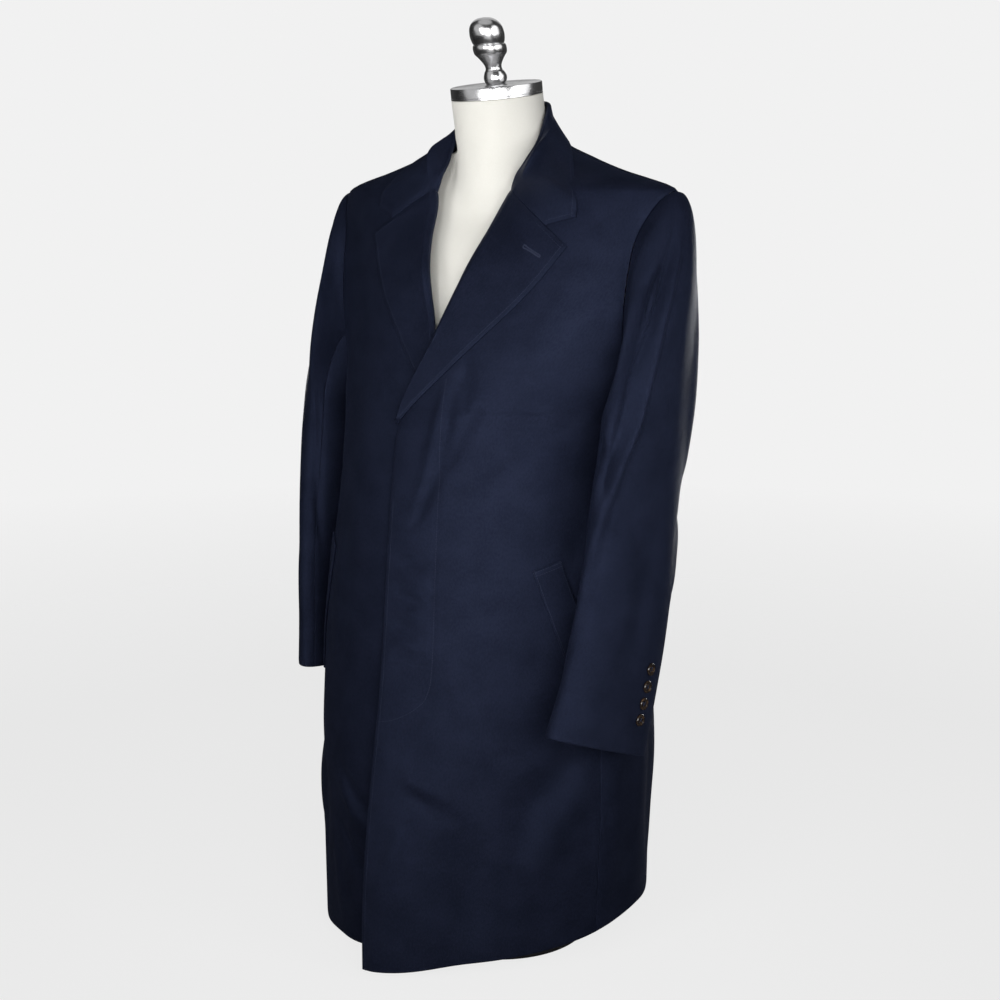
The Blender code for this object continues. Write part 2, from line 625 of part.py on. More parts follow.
def fall_row(side, share):
    """Across the collar: half a turn over the fold, then down to the fall's outer edge."""
    if share >= 1.0:
        row = [turned_edge(side, gorge_start(side), GORGE.level, COLLAR_RADIUS, k)
               for k in range(ROLL_STEPS + 1)]
        for k in range(1, FALL_COLUMNS + 1):
            x, level = gorge_line(side, k / FALL_COLUMNS,
                                  moved(side, COLLAR_POINT, RIGHT_POINT_IN))
            row.append(over_chest(side, x, level, k / FALL_COLUMNS))
        return row
    crest, rising, inside = collar_crest(side, share)
    middle = crest - rising * COLLAR_RADIUS
    row = []
    for k in range(ROLL_STEPS + 1):
        swing = math.pi * k / ROLL_STEPS
        reach = COLLAR_RADIUS + CLOTH / 2
        row.append(middle + inside * reach * math.cos(swing) + rising * reach * math.sin(swing))
    angle = read(COLLAR, "angle", share, "share")
    angle -= RIGHT_COLLAR_TURN * ease(share, 0.7, 1.0) if side < 0 else 0.0
    level = read(COLLAR, "level", share, "share")
    level += LAPEL_RAISE * ease(share, 0.7, 1.0) if side < 0 else 0.0
    edge = body(side * angle, level, COLLAR_LIES)
    straight = read(COLLAR, "straight", share, "share")
    start_angle, start_level = neckline(side, share)
    lift = ease(share, 0.50, 0.62) * (1 - ease(share, 0.75, 0.97))
    for k in range(1, FALL_COLUMNS + 1):
        q = k / FALL_COLUMNS
        direct = row[ROLL_STEPS].lerp(edge, q)
        q = (k - 1) / (FALL_COLUMNS - 1)
        out = COLLAR_LIES + (0.002 + FALL_LIFT * lift) * (1 - q) ** 2
        lain = front(side, start_angle + (angle - start_angle) * q,
                     start_level + (level - start_level) * q, out)
        row.append(lain.lerp(direct, straight))
    return row


def neckline(side, share):
    """The angle and level of the panels' edge where the stand is sewn to it."""
    corner = side * angle_at(side * (ROLL[-1].x + roll_radius(NECK)), NECK)
    if share <= STAND_TURN:
        return 180.0 - (180.0 - corner) * share / STAND_TURN, NECK
    t = (share - STAND_TURN) / (1 - STAND_TURN)
    level = NECK - (NECK - GORGE.level) * t ** 1.4
    own, other = roll_line(side, level), roll_line(1, level)
    x = other + (own - other) * t + roll_radius(level)
    return side * angle_at(side * x, level), level


def collar_shares():
    half = [k / COLLAR_HALF_ROWS for k in range(COLLAR_HALF_ROWS + 1)]
    return [(-1, share) for share in reversed(half[1:])] + [(1, share) for share in half]


def make_collar_fall():
    grid = [fall_row(side, share) for side, share in collar_shares()]
    return wall("collar_fall", grid, folded_normals(grid, -1), flip=True)


def stand_foot(side, share):
    angle, level = neckline(side, share)
    if share <= STAND_TURN:
        return front(side, angle, level, -0.9 * CLOTH) + Vector((0, 0, 0.0008))
    step = front(side, angle + 1, level) - front(side, angle, level)
    return front(side, angle, level, -CLOTH) - step.normalized() * 0.0007


def make_collar_stand():
    grid = []
    for side, share in collar_shares():
        if share > STAND_END:
            continue
        foot = stand_foot(side, share)
        fall = fall_row(side, share)
        sag = (fall[0] - fall[ROLL_STEPS]).normalized() * STAND_SAG
        crown = (fall[ROLL_STEPS // 2] - (fall[0] + fall[ROLL_STEPS]) / 2).normalized()
        head = fall[0] - crown * (STAND_CLEAR + STAND_SUNK * ease(share, 0.3, 0.6))
        grid.append([head.lerp(foot, t) + sag * 4 * t * (1 - t) for t in (0.0, 0.25, 0.6, 1.0)])
    return wall("collar_stand", grid, grid_normals(grid, 1), thickness=STAND_THICK)


# ---- pockets -------------------------------------------------------------------------------
def make_welt(side):
    grid = []
    for r in range(WELT_ROWS + 1):
        t = r / WELT_ROWS
        low, high = WELT_LOW, WELT_TOP
        mixed = Welt(*[a + (b - a) * t for a, b in zip(low, high)])
        row = []
        for c in range(WELT_COLUMNS + 1):
            q = c / WELT_COLUMNS
            angle = mixed.front_angle + (mixed.back_angle - mixed.front_angle) * q
            level = mixed.front_level + (mixed.back_level - mixed.front_level) * q
            row.append(front(side, angle, level, CLOTH + SEAM + 0.0003))
        grid.append(row)
    return wall(name_of(side, "pocket_welt"), grid, grid_normals(grid, side), flip=side < 0)


# ---- the form and its stand ----------------------------------------------------------------
def form_width(level):
    """Near the neck the form follows the inside of the coat's shoulders."""
    own = read(FORM, "width", level)
    if not 0.950 < level < 1.001:
        return own
    slope = math.cos(math.radians(20))
    coat = read(BODY, "width", level + (CLOTH + SHOULDER_GAP) / slope)
    return min(coat, FORM_SHOULDER)


def form_point(angle, level):
    turn = math.radians(angle)
    across, along = math.sin(turn), math.cos(turn)
    depth = read(FORM, "front" if along > 0 else "back", level)
    oval = 1 / math.hypot(across / form_width(level), along / depth)
    neck = read(FORM, "neck", level)
    reach = (oval ** 8 + neck ** 8) ** 0.125
    y = -along * reach
    lean = math.tan(math.radians(NECK_LEAN)) * ease(level, 1.005, 1.068)
    return Vector((across * reach, y + read(FORM, "middle", level), level + y * lean))


def make_form():
    rings = [[form_point(360 * k / FORM_SIDES, level) for k in range(FORM_SIDES)]
             for level in FORM_LEVELS]
    points = [p for ring in rings for p in ring]
    faces = [tuple(reversed(range(FORM_SIDES)))]
    for r in range(len(rings) - 1):
        for k in range(FORM_SIDES):
            a, b = r * FORM_SIDES + k, r * FORM_SIDES + (k + 1) % FORM_SIDES
            faces.append((a, b, b + FORM_SIDES, a + FORM_SIDES))
    faces.append(tuple(range((len(rings) - 1) * FORM_SIDES, len(points))))
    add_mesh("form_torso", points, faces, linen())
    lean = math.radians(NECK_LEAN)
    axis = Vector((0, -math.sin(lean), math.cos(lean)))
    top = Vector((0, read(FORM, "middle", 1.068), 1.068)) + axis * SEAM
    cap = [(0, 0), (CAP_RADIUS, 0), (CAP_RADIUS, CAP_HEIGHT - 0.0012),
           (CAP_RADIUS - 0.0012, CAP_HEIGHT), (0, CAP_HEIGHT)]
    turned("neck_cap", cap, 48, top, axis, polished())
    further = Vector((0, -math.cos(lean), -math.sin(lean))) * math.tan(math.radians(FINIAL_LEAN))
    turned("neck_finial", FINIAL, 24, top + axis * (CAP_HEIGHT + SEAM), axis, polished(), further)


def make_stand():
    up = Vector((0, 0, 1))
    base = [(0, 0), (BASE_RADIUS - 0.001, 0), (BASE_RADIUS, 0.001),
            (BASE_RADIUS, BASE_THICK - 0.003), (BASE_RADIUS - 0.003, BASE_THICK),
            (0, BASE_THICK)]
    turned("stand_base", base, 48, Vector((0, 0, 0)), up, painted())
    foot = BASE_THICK + SEAM
    pole = [(0, 0), (POLE_RADIUS + 0.012, 0), (POLE_RADIUS + 0.012, 0.008),
            (POLE_RADIUS, 0.014), (POLE_RADIUS, FORM[0].level - foot - SEAM),
            (0, FORM[0].level - foot - SEAM)]
    turned("stand_pole", pole, 24, Vector((0, FORM[0].middle, foot)), up, painted())


# ---- helpers shared by the pieces that lie on others ---------------------------------------
def name_of(side, piece):
    return ("left_" if side > 0 else "right_") + piece


def grid_normals(grid, sign):
    """A normal for each point of a grid, from its neighbours."""
    rows, columns = len(grid), len(grid[0])
    normals = []
    for r in range(rows):
        row = []
        for c in range(columns):
            across = grid[r][min(c + 1, columns - 1)] - grid[r][max(c - 1, 0)]
            up = grid[min(r + 1, rows - 1)][c] - grid[max(r - 1, 0)][c]
            row.append(across.cross(up).normalized() * sign)
        normals.append(row)
    return normals


def folded_normals(grid, sign):
    """The same for a piece whose rows start with half a turn: there they point from its middle."""
    normals = grid_normals(grid, sign)
    for row, found in zip(grid, normals):
        middle = (row[0] + row[ROLL_STEPS]) / 2
        for k in range(ROLL_STEPS + 1):
            found[k] = (row[k] - middle).normalized()
    return normals


def turned(name, profile, sides, seat, axis, finish, lean=Vector()):
    """A solid turned from (radius, height) pairs about an axis through seat; above its foot
    it can lean, by so much for each metre."""
    axis = axis.normalized()
    flat = axis.orthogonal().normalized()
    third = axis.cross(flat)
    points, faces, rings = [], [], []
    for radius, height in profile:
        middle = seat + axis * height + lean * max(0.0, height - FINIAL_FOOT)
        if radius < 1e-6:
            rings.append([len(points)])
            points.append(middle)
            continue
        rings.append(list(range(len(points), len(points) + sides)))
        for k in range(sides):
            swing = 2 * math.pi * k / sides
            around = flat * math.cos(swing) + third * math.sin(swing)
            points.append(middle + around * radius)
    for low, high in zip(rings, rings[1:]):
        for k in range(sides):
            a, b = low[k % len(low)], low[(k + 1) % len(low)]
            c, d = high[(k + 1) % len(high)], high[k % len(high)]
            faces.append(tuple(dict.fromkeys((a, b, c, d))))
    return add_mesh(name, points, faces, finish)


# ---- build ---------------------------------------------------------------------------------
def clear():
    for thing in list(bpy.data.objects):
        bpy.data.objects.remove(thing, do_unlink=True)


def main():
    clear()
    for side in (1, -1):
        make_front(side)
        make_back(side)
        make_sleeve(side, True)
        make_sleeve(side, False)
        make_lapel(side)
        make_welt(side)
        make_cuff_buttons(side)
    make_collar_fall()
    make_collar_stand()
    make_form()
    make_stand()


main()
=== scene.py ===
# %% [markdown]
# A navy wool overcoat hangs buttoned on a limbless tailor's form. Everything here is in
# metres, +Z is up, the coat's front faces -Y and the wearer's left is +X.
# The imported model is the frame: it says where each piece is, and each cloth piece is made
# again here as a fine sheet with folds, seams and stitches on that same place.

# %% The frame
import bisect
import json
import math
from collections import namedtuple

import bpy
import numpy as np
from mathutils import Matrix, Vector

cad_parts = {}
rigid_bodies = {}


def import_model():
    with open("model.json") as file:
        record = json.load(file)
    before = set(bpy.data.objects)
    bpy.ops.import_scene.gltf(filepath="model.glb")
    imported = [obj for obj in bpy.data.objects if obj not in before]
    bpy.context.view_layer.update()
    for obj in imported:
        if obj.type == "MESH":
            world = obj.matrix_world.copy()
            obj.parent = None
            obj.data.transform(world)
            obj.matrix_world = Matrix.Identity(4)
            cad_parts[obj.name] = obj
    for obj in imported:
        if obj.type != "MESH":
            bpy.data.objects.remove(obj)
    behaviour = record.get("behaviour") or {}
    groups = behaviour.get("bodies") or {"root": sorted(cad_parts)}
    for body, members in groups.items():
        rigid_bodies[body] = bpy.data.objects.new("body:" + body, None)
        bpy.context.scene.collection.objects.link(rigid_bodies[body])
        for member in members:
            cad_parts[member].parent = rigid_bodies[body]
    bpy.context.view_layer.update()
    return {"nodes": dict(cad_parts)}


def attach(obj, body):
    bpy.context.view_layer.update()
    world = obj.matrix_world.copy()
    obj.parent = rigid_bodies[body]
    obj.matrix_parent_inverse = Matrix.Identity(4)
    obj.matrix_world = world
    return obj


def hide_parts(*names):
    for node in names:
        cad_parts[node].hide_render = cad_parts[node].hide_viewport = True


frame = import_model()
print("nodes in the frame:", len(frame["nodes"]))

# %% [markdown]
# A coat is cut from flat panels, but it hangs as one smooth hollow body. So the sizes are
# those of the hung coat: one row for each height of the body, one for each place down the
# arm, and one for each place round the collar. They are the same sizes as the solid model's.

# %% The coat's sizes
CLOTH = 0.0022              # thickness of the wool cloth, folded edge and interlining included
SEAM = 0.0003               # gap between two pieces that touch
HEM = 0.015                 # height of the hem at the front edge
HEM_RISE_FADE = 0.45        # height at which the rise has died out
RIGHT_TUCK = 0.011          # the right front's hem hangs this much higher near its edge
SHOULDER = 0.955            # height of the shoulder tip
NECK = 1.015                # height of the neck seam
ARMPIT = 0.700              # height of the bottom of the armhole
SIDE_SEAM_FORWARD = 23.0    # degrees by which the side seam lies further front in the skirt
BREAK = 0.682               # height where the lapel starts to roll
BACK_LIFT = 0.010           # the neck seam climbs this much towards the centre back

# one row for each height of the body: half width, x of its middle, y of centre front, y of
# centre back, y of the widest point, and how much y grows per metre of x
Section = namedtuple("Section", "level width middle front back side skew")
BODY = [
    Section(0.015, 0.211, -0.006, -0.210, 0.150, -0.020, 0.12),
    Section(0.120, 0.214, -0.006, -0.211, 0.147, -0.020, 0.11),
    Section(0.250, 0.217, -0.005, -0.210, 0.140, -0.020, 0.10),
    Section(0.380, 0.215, -0.004, -0.203, 0.130, -0.020, 0.09),
    Section(0.500, 0.207, -0.004, -0.192, 0.115, -0.018, 0.08),
    Section(0.600, 0.197, -0.003, -0.181, 0.100, -0.014, 0.08),
    Section(0.680, 0.199, -0.002, -0.168, 0.100, -0.008, 0.06),
    Section(0.750, 0.217, 0.000, -0.148, 0.108, 0.000, 0.02),
    Section(0.820, 0.240, 0.000, -0.124, 0.113, 0.005, 0.00),
    Section(0.880, 0.250, 0.000, -0.101, 0.108, 0.008, 0.00),
    Section(0.920, 0.250, 0.000, -0.086, 0.100, 0.009, 0.00),
    Section(0.955, 0.241, 0.000, -0.072, 0.092, 0.008, 0.00),
    Section(0.983, 0.158, 0.000, -0.059, 0.081, 0.006, 0.00),
    Section(1.000, 0.112, 0.000, -0.048, 0.074, 0.005, 0.00),
    Section(1.015, 0.078, 0.000, -0.040, 0.067, 0.004, 0.00),
    Section(1.075, 0.064, 0.000, -0.030, 0.070, 0.004, 0.00),
]
SIDE_DROP = 1.12            # above 1 the quarters of a section are flatter than an ellipse
# how much higher than at the front edge the hem hangs, round the wearer's left
Rise = namedtuple("Rise", "angle up")
HEM_RISE = [
    Rise(-180, 0.060), Rise(-90, 0.008), Rise(-30, 0.002), Rise(-10, 0.0), Rise(0, 0.003),
    Rise(25, 0.018), Rise(60, 0.038), Rise(95, 0.060), Rise(180, 0.060),
]

# the turning line of a front: x of its roll line or, below the break, of its free edge
Edge = namedtuple("Edge", "level x")
ROLL = [
    Edge(0.015, -0.039), Edge(0.200, -0.036), Edge(0.450, -0.031), Edge(0.682, -0.030),
    Edge(0.796, 0.005), Edge(0.900, 0.037), Edge(0.962, 0.0525), Edge(0.972, 0.0620),
    Edge(0.985, 0.0690), Edge(1.000, 0.0730), Edge(1.015, 0.0735),
]
# the outer edge of a lapel
LAPEL = [
    Edge(0.682, -0.030), Edge(0.707, -0.009), Edge(0.7375, 0.020), Edge(0.781, 0.060),
    Edge(0.844, 0.1155), Edge(0.892, 0.1465),
]
GORGE = Edge(0.962, 0.0525)
NOTCH = Edge(0.916, 0.1165)
COLLAR_POINT = Edge(0.925, 0.1515)
RIGHT_NOTCH_IN = 0.0070      # the right notch, tip and collar point lie this much further in
RIGHT_TIP_IN = 0.0075
RIGHT_POINT_IN = 0.0120
RIGHT_ROLL_OUT = 0.0044      # the right roll line lies this much further out at its head
RIGHT_COLLAR_TURN = 3.0      # degrees by which the fall's right edge lies nearer the front

# the armhole, an oval in height and y
ARMHOLE_FRONT = 0.058
ARMHOLE_BACK = 0.064

# the arm's line for the wearer's left sleeve: centre, half depth fore and aft, half thickness,
# how far the front of the ring turns inwards, in degrees, and how much further forward and
# further out the left sleeve hangs than the right one, halved
Ring = namedtuple("Ring", "share x y z depth thick turn ahead apart")
ARM = [
    Ring(0.0, 0.229, -0.018, 0.800, 0.084, 0.046, 0, 0.004, 0.007),
    Ring(0.2, 0.2370, -0.024, 0.690, 0.081, 0.0325, 2, 0.018, -0.002),
    Ring(0.4, 0.2347, -0.0375, 0.590, 0.079, 0.031, 5, 0.0165, -0.0057),
    Ring(0.6, 0.2374, -0.0551, 0.480, 0.077, 0.029, 9, 0.0189, -0.0084),
    Ring(0.8, 0.2386, -0.0693, 0.395, 0.077, 0.028, 13, 0.0297, -0.0116),
    Ring(1.0, 0.2374, -0.0847, 0.322, 0.079, 0.027, 16, 0.0393, -0.0144),
]
RIGHT_ARM_SHORTER = 0.012   # the right cuff ends this much higher
SLEEVE_SEAM = 0.775         # armhole height at which both sleeve seams start
HEAD_END = 0.20             # share of the arm's line where the sleeve head has become a tube
HEAD_LEAVE_TOP = 0.42       # how far the sleeve head stands out at the shoulder and the armpit
HEAD_LEAVE_LOW = 0.32
ARM_LENGTH = 0.385          # length of the arm's line, for placing the buttons

CUFF_BUTTONS = 4
CUFF_FIRST = 0.042          # lowest button above the cuff, and the step to the next
CUFF_STEP = 0.0187
CUFF_BUTTON_AROUND = 116.0
BUTTON_RADIUS = 0.0075
BUTTON_THICK = 0.0030

# half of the collar from the centre back (0) to its front end (1): the crest of its fold, the
# body angle and level of the fall's outer edge, how straight the fall drops there, and how
# much the fold turns from standing up to lying on the chest
Collar = namedtuple("Collar", "share x y z angle level straight lying")
COLLAR = [
    Collar(0.000, 0.0000, 0.0585, 1.0650, 180.0, 0.996, 1.0, 0.0),
    Collar(0.128, 0.0240, 0.0535, 1.0640, 160.0, 1.000, 1.0, 0.0),
    Collar(0.246, 0.0424, 0.0405, 1.0610, 137.0, 1.005, 1.0, 0.0),
    Collar(0.338, 0.0520, 0.0270, 1.0550, 118.0, 1.0065, 1.0, 0.0),
    Collar(0.439, 0.0595, 0.0115, 1.0460, 98.0, 1.006, 1.0, 0.0),
    Collar(0.516, 0.0622, 0.0020, 1.0350, 82.0, 1.002, 0.7, 0.0),
    Collar(0.595, 0.0625, -0.0060, 1.0220, 67.0, 0.994, 0.35, 0.0),
    Collar(0.678, 0.0615, -0.0150, 1.0090, 55.0, 0.986, 0.1, 0.1),
    Collar(0.754, 0.0585, -0.0235, 0.9975, 46.0, 0.976, 0.0, 0.25),
    Collar(0.832, 0.0568, -0.0330, 0.9860, 39.0, 0.963, 0.0, 0.4),
    Collar(0.904, 0.0558, -0.0420, 0.9755, 37.2, 0.946, 0.0, 0.6),
    Collar(1.000, 0.0525, -0.0550, 0.9620, 37.8, 0.925, 0.0, 1.0),
]
COLLAR_LIES = CLOTH + SEAM + 0.0013
FALL_COLUMNS = 20
COLLAR_RADIUS = 0.0022
FALL_LIFT = 0.0055          # how much higher the fall passes over the neck seam beside the neck
STAND_END = 0.70            # where the stand dies out into the front, as a share of the collar
STAND_THICK = 0.0013
STAND_SAG = 0.0020          # how far the stand hollows towards the neck
STAND_TURN = 0.52           # where the stand leaves the neck seam for the front's edge
NECK_DIP = 0.0195           # how far the fronts sink towards the neck beside the gorge

# the welt of a pocket: angles and levels of its front and back edge, top and bottom
Welt = namedtuple("Welt", "front_angle front_level back_angle back_level")
WELT_TOP = Welt(43.0, 0.520, 53.0, 0.531)
WELT_LOW = Welt(60.0, 0.345, 70.0, 0.356)

# the form: an oval trunk and a round neck melted together, about a middle that leans forward
Trunk = namedtuple("Trunk", "level width front back middle neck")
FORM = [
    Trunk(0.260, 0.140, 0.100, 0.085, -0.015, 0.02),
    Trunk(0.272, 0.150, 0.108, 0.092, -0.015, 0.02),
    Trunk(0.400, 0.166, 0.118, 0.098, -0.015, 0.02),
    Trunk(0.500, 0.160, 0.115, 0.090, -0.015, 0.02),
    Trunk(0.600, 0.146, 0.110, 0.080, -0.015, 0.02),
    Trunk(0.700, 0.152, 0.114, 0.085, -0.012, 0.02),
    Trunk(0.780, 0.166, 0.108, 0.092, -0.008, 0.03),
    Trunk(0.840, 0.176, 0.094, 0.094, -0.004, 0.03),
    Trunk(0.890, 0.184, 0.076, 0.086, 0.000, 0.040),
    Trunk(0.925, 0.192, 0.056, 0.072, 0.004, 0.050),
    Trunk(0.947, 0.196, 0.046, 0.058, 0.006, 0.054),
    Trunk(0.960, 0.190, 0.038, 0.050, 0.007, 0.055),
    Trunk(0.997, 0.092, 0.022, 0.036, 0.006, 0.0550),
    Trunk(1.008, 0.058, 0.022, 0.036, 0.005, 0.0550),
    Trunk(1.020, 0.050, 0.030, 0.034, 0.003, 0.0555),
    Trunk(1.040, 0.040, 0.030, 0.030, 0.000, 0.0555),
    Trunk(1.068, 0.040, 0.030, 0.030, -0.006, 0.0553),
]
FORM_LEVELS = [0.26, 0.272, 0.33, 0.40, 0.50, 0.60, 0.70, 0.76, 0.81, 0.85, 0.885, 0.915, 0.94,
               0.955, 0.968, 0.980, 0.991, 1.000, 1.008, 1.018, 1.033, 1.05, 1.068]
SHOULDER_GAP = 0.0007       # the coat's shoulders rest this close to the form's
FORM_SHOULDER = 0.196       # the form's half width at its shoulders
NECK_LEAN = 9.0             # degrees that the neck and its cap lean forward
FINIAL_LEAN = 11.0          # degrees that the finial leans further, above its foot
FINIAL_FOOT = 0.009
CAP_RADIUS = 0.0557
CAP_HEIGHT = 0.0145
FINIAL = [                  # radius and height above the cap
    (0.0, 0.0), (0.0118, 0.0), (0.0135, 0.0040), (0.0139, 0.0090), (0.0118, 0.0145),
    (0.0100, 0.0175), (0.0100, 0.0215), (0.0120, 0.0260), (0.0160, 0.0320), (0.0186, 0.0350),
    (0.0198, 0.0375), (0.0203, 0.0420), (0.0196, 0.0460), (0.0184, 0.0475), (0.0193, 0.0495),
    (0.0205, 0.0545), (0.0207, 0.0600), (0.0193, 0.0675), (0.0150, 0.0737), (0.0085, 0.0773),
    (0.0, 0.0785),
]
BASE_RADIUS = 0.118
BASE_THICK = 0.012
POLE_RADIUS = 0.016

ROLL_STEPS = 8
LAPEL_GAP = 0.0012          # between a front's edge and the lapel that turns back from it
LAPEL_RAISE = 0.012         # the right lapel and collar point sit this much higher

print("body rows:", len(BODY), "arm rows:", len(ARM), "collar rows:", len(COLLAR))

# %% [markdown]
# Each column of a table is read with a smooth curve that never overshoots its rows, so a
# waist stays a waist and a shoulder stays flat. The body is then one surface that takes an
# angle round the middle and a height, and every panel is a patch of it.

# %% The body's surface
CURVES = {}


def curve(rows, column, key):
    """The knots, values and slopes of one column, worked out once."""
    name = (id(rows), column, key)
    if name not in CURVES:
        xs = [getattr(row, key) for row in rows]
        ys = [getattr(row, column) for row in rows]
        chords = [(ys[k + 1] - ys[k]) / (xs[k + 1] - xs[k]) for k in range(len(xs) - 1)]
        slopes = [chords[0]]
        for before, after in zip(chords, chords[1:]):
            level = before * after <= 0.0
            slopes.append(0.0 if level else 2.0 * before * after / (before + after))
        CURVES[name] = (xs, ys, slopes + [chords[-1]])
    return CURVES[name]


def read(rows, column, at, key="level"):
    """Monotone cubic through one column of a table."""
    xs, ys, slopes = curve(rows, column, key)
    if at <= xs[0]:
        return ys[0]
    if at >= xs[-1]:
        return ys[-1]
    i = bisect.bisect_right(xs, at) - 1
    span = xs[i + 1] - xs[i]
    t = (at - xs[i]) / span
    rise = ys[i] * (1 + 2 * t) * (1 - t) ** 2 + ys[i + 1] * t * t * (3 - 2 * t)
    return rise + span * (slopes[i] * t * (1 - t) ** 2 - slopes[i + 1] * t * t * (1 - t))


def ease(value, low, high):
    """0 below low, 1 above high, smooth between."""
    t = min(1.0, max(0.0, (value - low) / (high - low)))
    return t * t * (3 - 2 * t)


def plain_body(angle, level):
    """A point of the body: angle in degrees from centre front, + towards the wearer's left."""
    turn = math.radians(angle)
    across, along = math.sin(turn), math.cos(turn)
    side = read(BODY, "side", level)
    reach = read(BODY, "front" if along > 0 else "back", level) - side
    x = read(BODY, "width", level) * across
    y = side + reach * abs(along) ** SIDE_DROP + read(BODY, "skew", level) * x
    rise = read(HEM_RISE, "up", angle, "angle") * (1 - ease(level, HEM, HEM_RISE_FADE))
    lift = BACK_LIFT * max(0.0, -along) ** 2 * ease(level, 0.94, NECK)
    return Vector((x + read(BODY, "middle", level), y, level + rise + lift))


def normal_of(surface, u, v, du, dv):
    """The unit normal of surface(u, v), from small steps."""
    across = surface(u + du, v) - surface(u - du, v)
    up = surface(u, v + dv) - surface(u, v - dv)
    return across.cross(up).normalized()


def body_normal(angle, level):
    low = min(max(level, BODY[0].level + 0.002), BODY[-1].level - 0.002)
    return normal_of(plain_body, angle, low, 0.6, 0.0015)


def body(angle, level, out=0.0):
    return plain_body(angle, level) + body_normal(angle, level) * out


def angle_at(x, level):
    """The front angle at which a section reaches the world's x."""
    share = (x - read(BODY, "middle", level)) / read(BODY, "width", level)
    return math.degrees(math.asin(max(-0.9999, min(0.9999, share))))


def armhole_angle(level, back):
    """Where the armhole cuts the section at this level; the side seam runs on from it."""
    if level >= SHOULDER:
        return 90.0
    if level <= ARMPIT:
        return 90.0 - SIDE_SEAM_FORWARD * (1 - ease(level, 0.42, 0.70))
    middle, half = (SHOULDER + ARMPIT) / 2, (SHOULDER - ARMPIT) / 2
    bow = math.sqrt(max(0.0, 1 - ((level - middle) / half) ** 2))
    reach = read(BODY, "back" if back else "front", level) - read(BODY, "side", level)
    share = (ARMHOLE_BACK if back else ARMHOLE_FRONT) * bow / abs(reach)
    swing = math.degrees(math.asin(min(0.98, share) ** (1 / SIDE_DROP)))
    return 90.0 + swing if back else 90.0 - swing


print("chest half width:", round(read(BODY, "width", 0.88), 3))

# %% [markdown]
# The wearer's left front lies over the right one and swings a little forward at the hem.
# The fronts also sink towards the neck, where the collar presses on them.

# %% How the fronts lie
def left_out(x, level):
    """The wearer's left front lies over the right one, and its free edge swings forward."""
    over = 0.0020 * (1 - ease(x, 0.03, 0.09)) * (1 - ease(level, 0.78, 0.86))
    swing = 0.026 * (1 - ease(x, -0.035, 0.075)) * (1 - ease(level, 0.05, 0.42))
    return over + swing


def right_out(x, level):
    """The right front sinks under the left one; x is the world's."""
    under = 0.0078 * ease(x, -0.10, -0.02) * (1 - ease(level, 0.80, 0.86))
    swing = 0.016 * ease(x, -0.09, 0.02) * (1 - ease(level, 0.05, 0.42))
    return -under - swing


def roll_line(side, level):
    """x of a front's turning line, counted outwards from the middle."""
    out = RIGHT_ROLL_OUT * ease(level, 0.84, 0.94) if side < 0 else 0.0
    return read(ROLL, "x", level) + out


def gorge_start(side):
    """x at which the gorge seam begins on the turning line."""
    return GORGE.x + (RIGHT_ROLL_OUT if side < 0 else 0.0)


def moved(side, edge, inward):
    return Edge(edge.level, edge.x - inward) if side < 0 else edge


def roll_radius(level):
    return 0.0015 + 0.0015 * ease(level, 0.72, 0.86)


def neck_dip(x, level):
    rising = ease(level, 0.86, 0.965) * (1 - ease(level, 0.975, 1.005))
    return NECK_DIP * rising * max(0.0, min(1.0, (0.155 - abs(x)) / 0.105)) ** 2


def front(side, angle, level, out=0.0):
    """A point of one front: side is +1 for the wearer's left."""
    x = plain_body(side * angle, level).x
    lie = (left_out(x, level) if side > 0 else right_out(x, level)) - neck_dip(x, level)
    tuck = 0.0 if side > 0 else RIGHT_TUCK * ease(x, -0.20, -0.10) * (1 - ease(level, HEM, 0.3))
    return body(side * angle, level, lie + out) + Vector((0.0, 0.0, tuck))


# %% [markdown]
# A sleeve is a bent tube. Its head is a smooth bridge from the armhole seam, an oval on
# the side of the body, to the upper arm, and the rest follows the arm's line.

# %% The sleeve's surface
def arm_line(side, share):
    """The arm's centre at 0..1 down its table."""
    x = side * read(ARM, "x", share, "share") + read(ARM, "apart", share, "share")
    y = read(ARM, "y", share, "share") - side * read(ARM, "ahead", share, "share")
    up = RIGHT_ARM_SHORTER * share if side < 0 else 0.0
    return Vector((x, y, read(ARM, "z", share, "share") + up))


def arm_point(side, around, share):
    """A point of the lower sleeve: around in degrees from the front, over the outside."""
    down = arm_line(side, min(1.0, share + 0.05)) - arm_line(side, max(0.0, share - 0.05))
    down.normalize()
    turn = math.radians(read(ARM, "turn", share, "share"))
    ahead = Vector((-side * math.sin(turn), -math.cos(turn), 0.0))
    ahead = (ahead - down * ahead.dot(down)).normalized()
    outward = ahead.cross(down) * side
    swing = math.radians(around)
    ahead *= read(ARM, "depth", share, "share") * math.cos(swing)
    outward *= read(ARM, "thick", share, "share") * math.sin(swing)
    return arm_line(side, share) + ahead + outward


def armhole_point(side, around):
    """The armhole's seam as body angle and level: 90 at the shoulder tip, 270 at the armpit."""
    swing = math.radians(around)
    middle, half = (SHOULDER + ARMPIT) / 2, (SHOULDER - ARMPIT) / 2
    level = middle + half * math.sin(swing)
    level = min(SHOULDER - 0.0001, max(ARMPIT + 0.0001, level))
    return side * armhole_angle(level, math.cos(swing) < 0), level


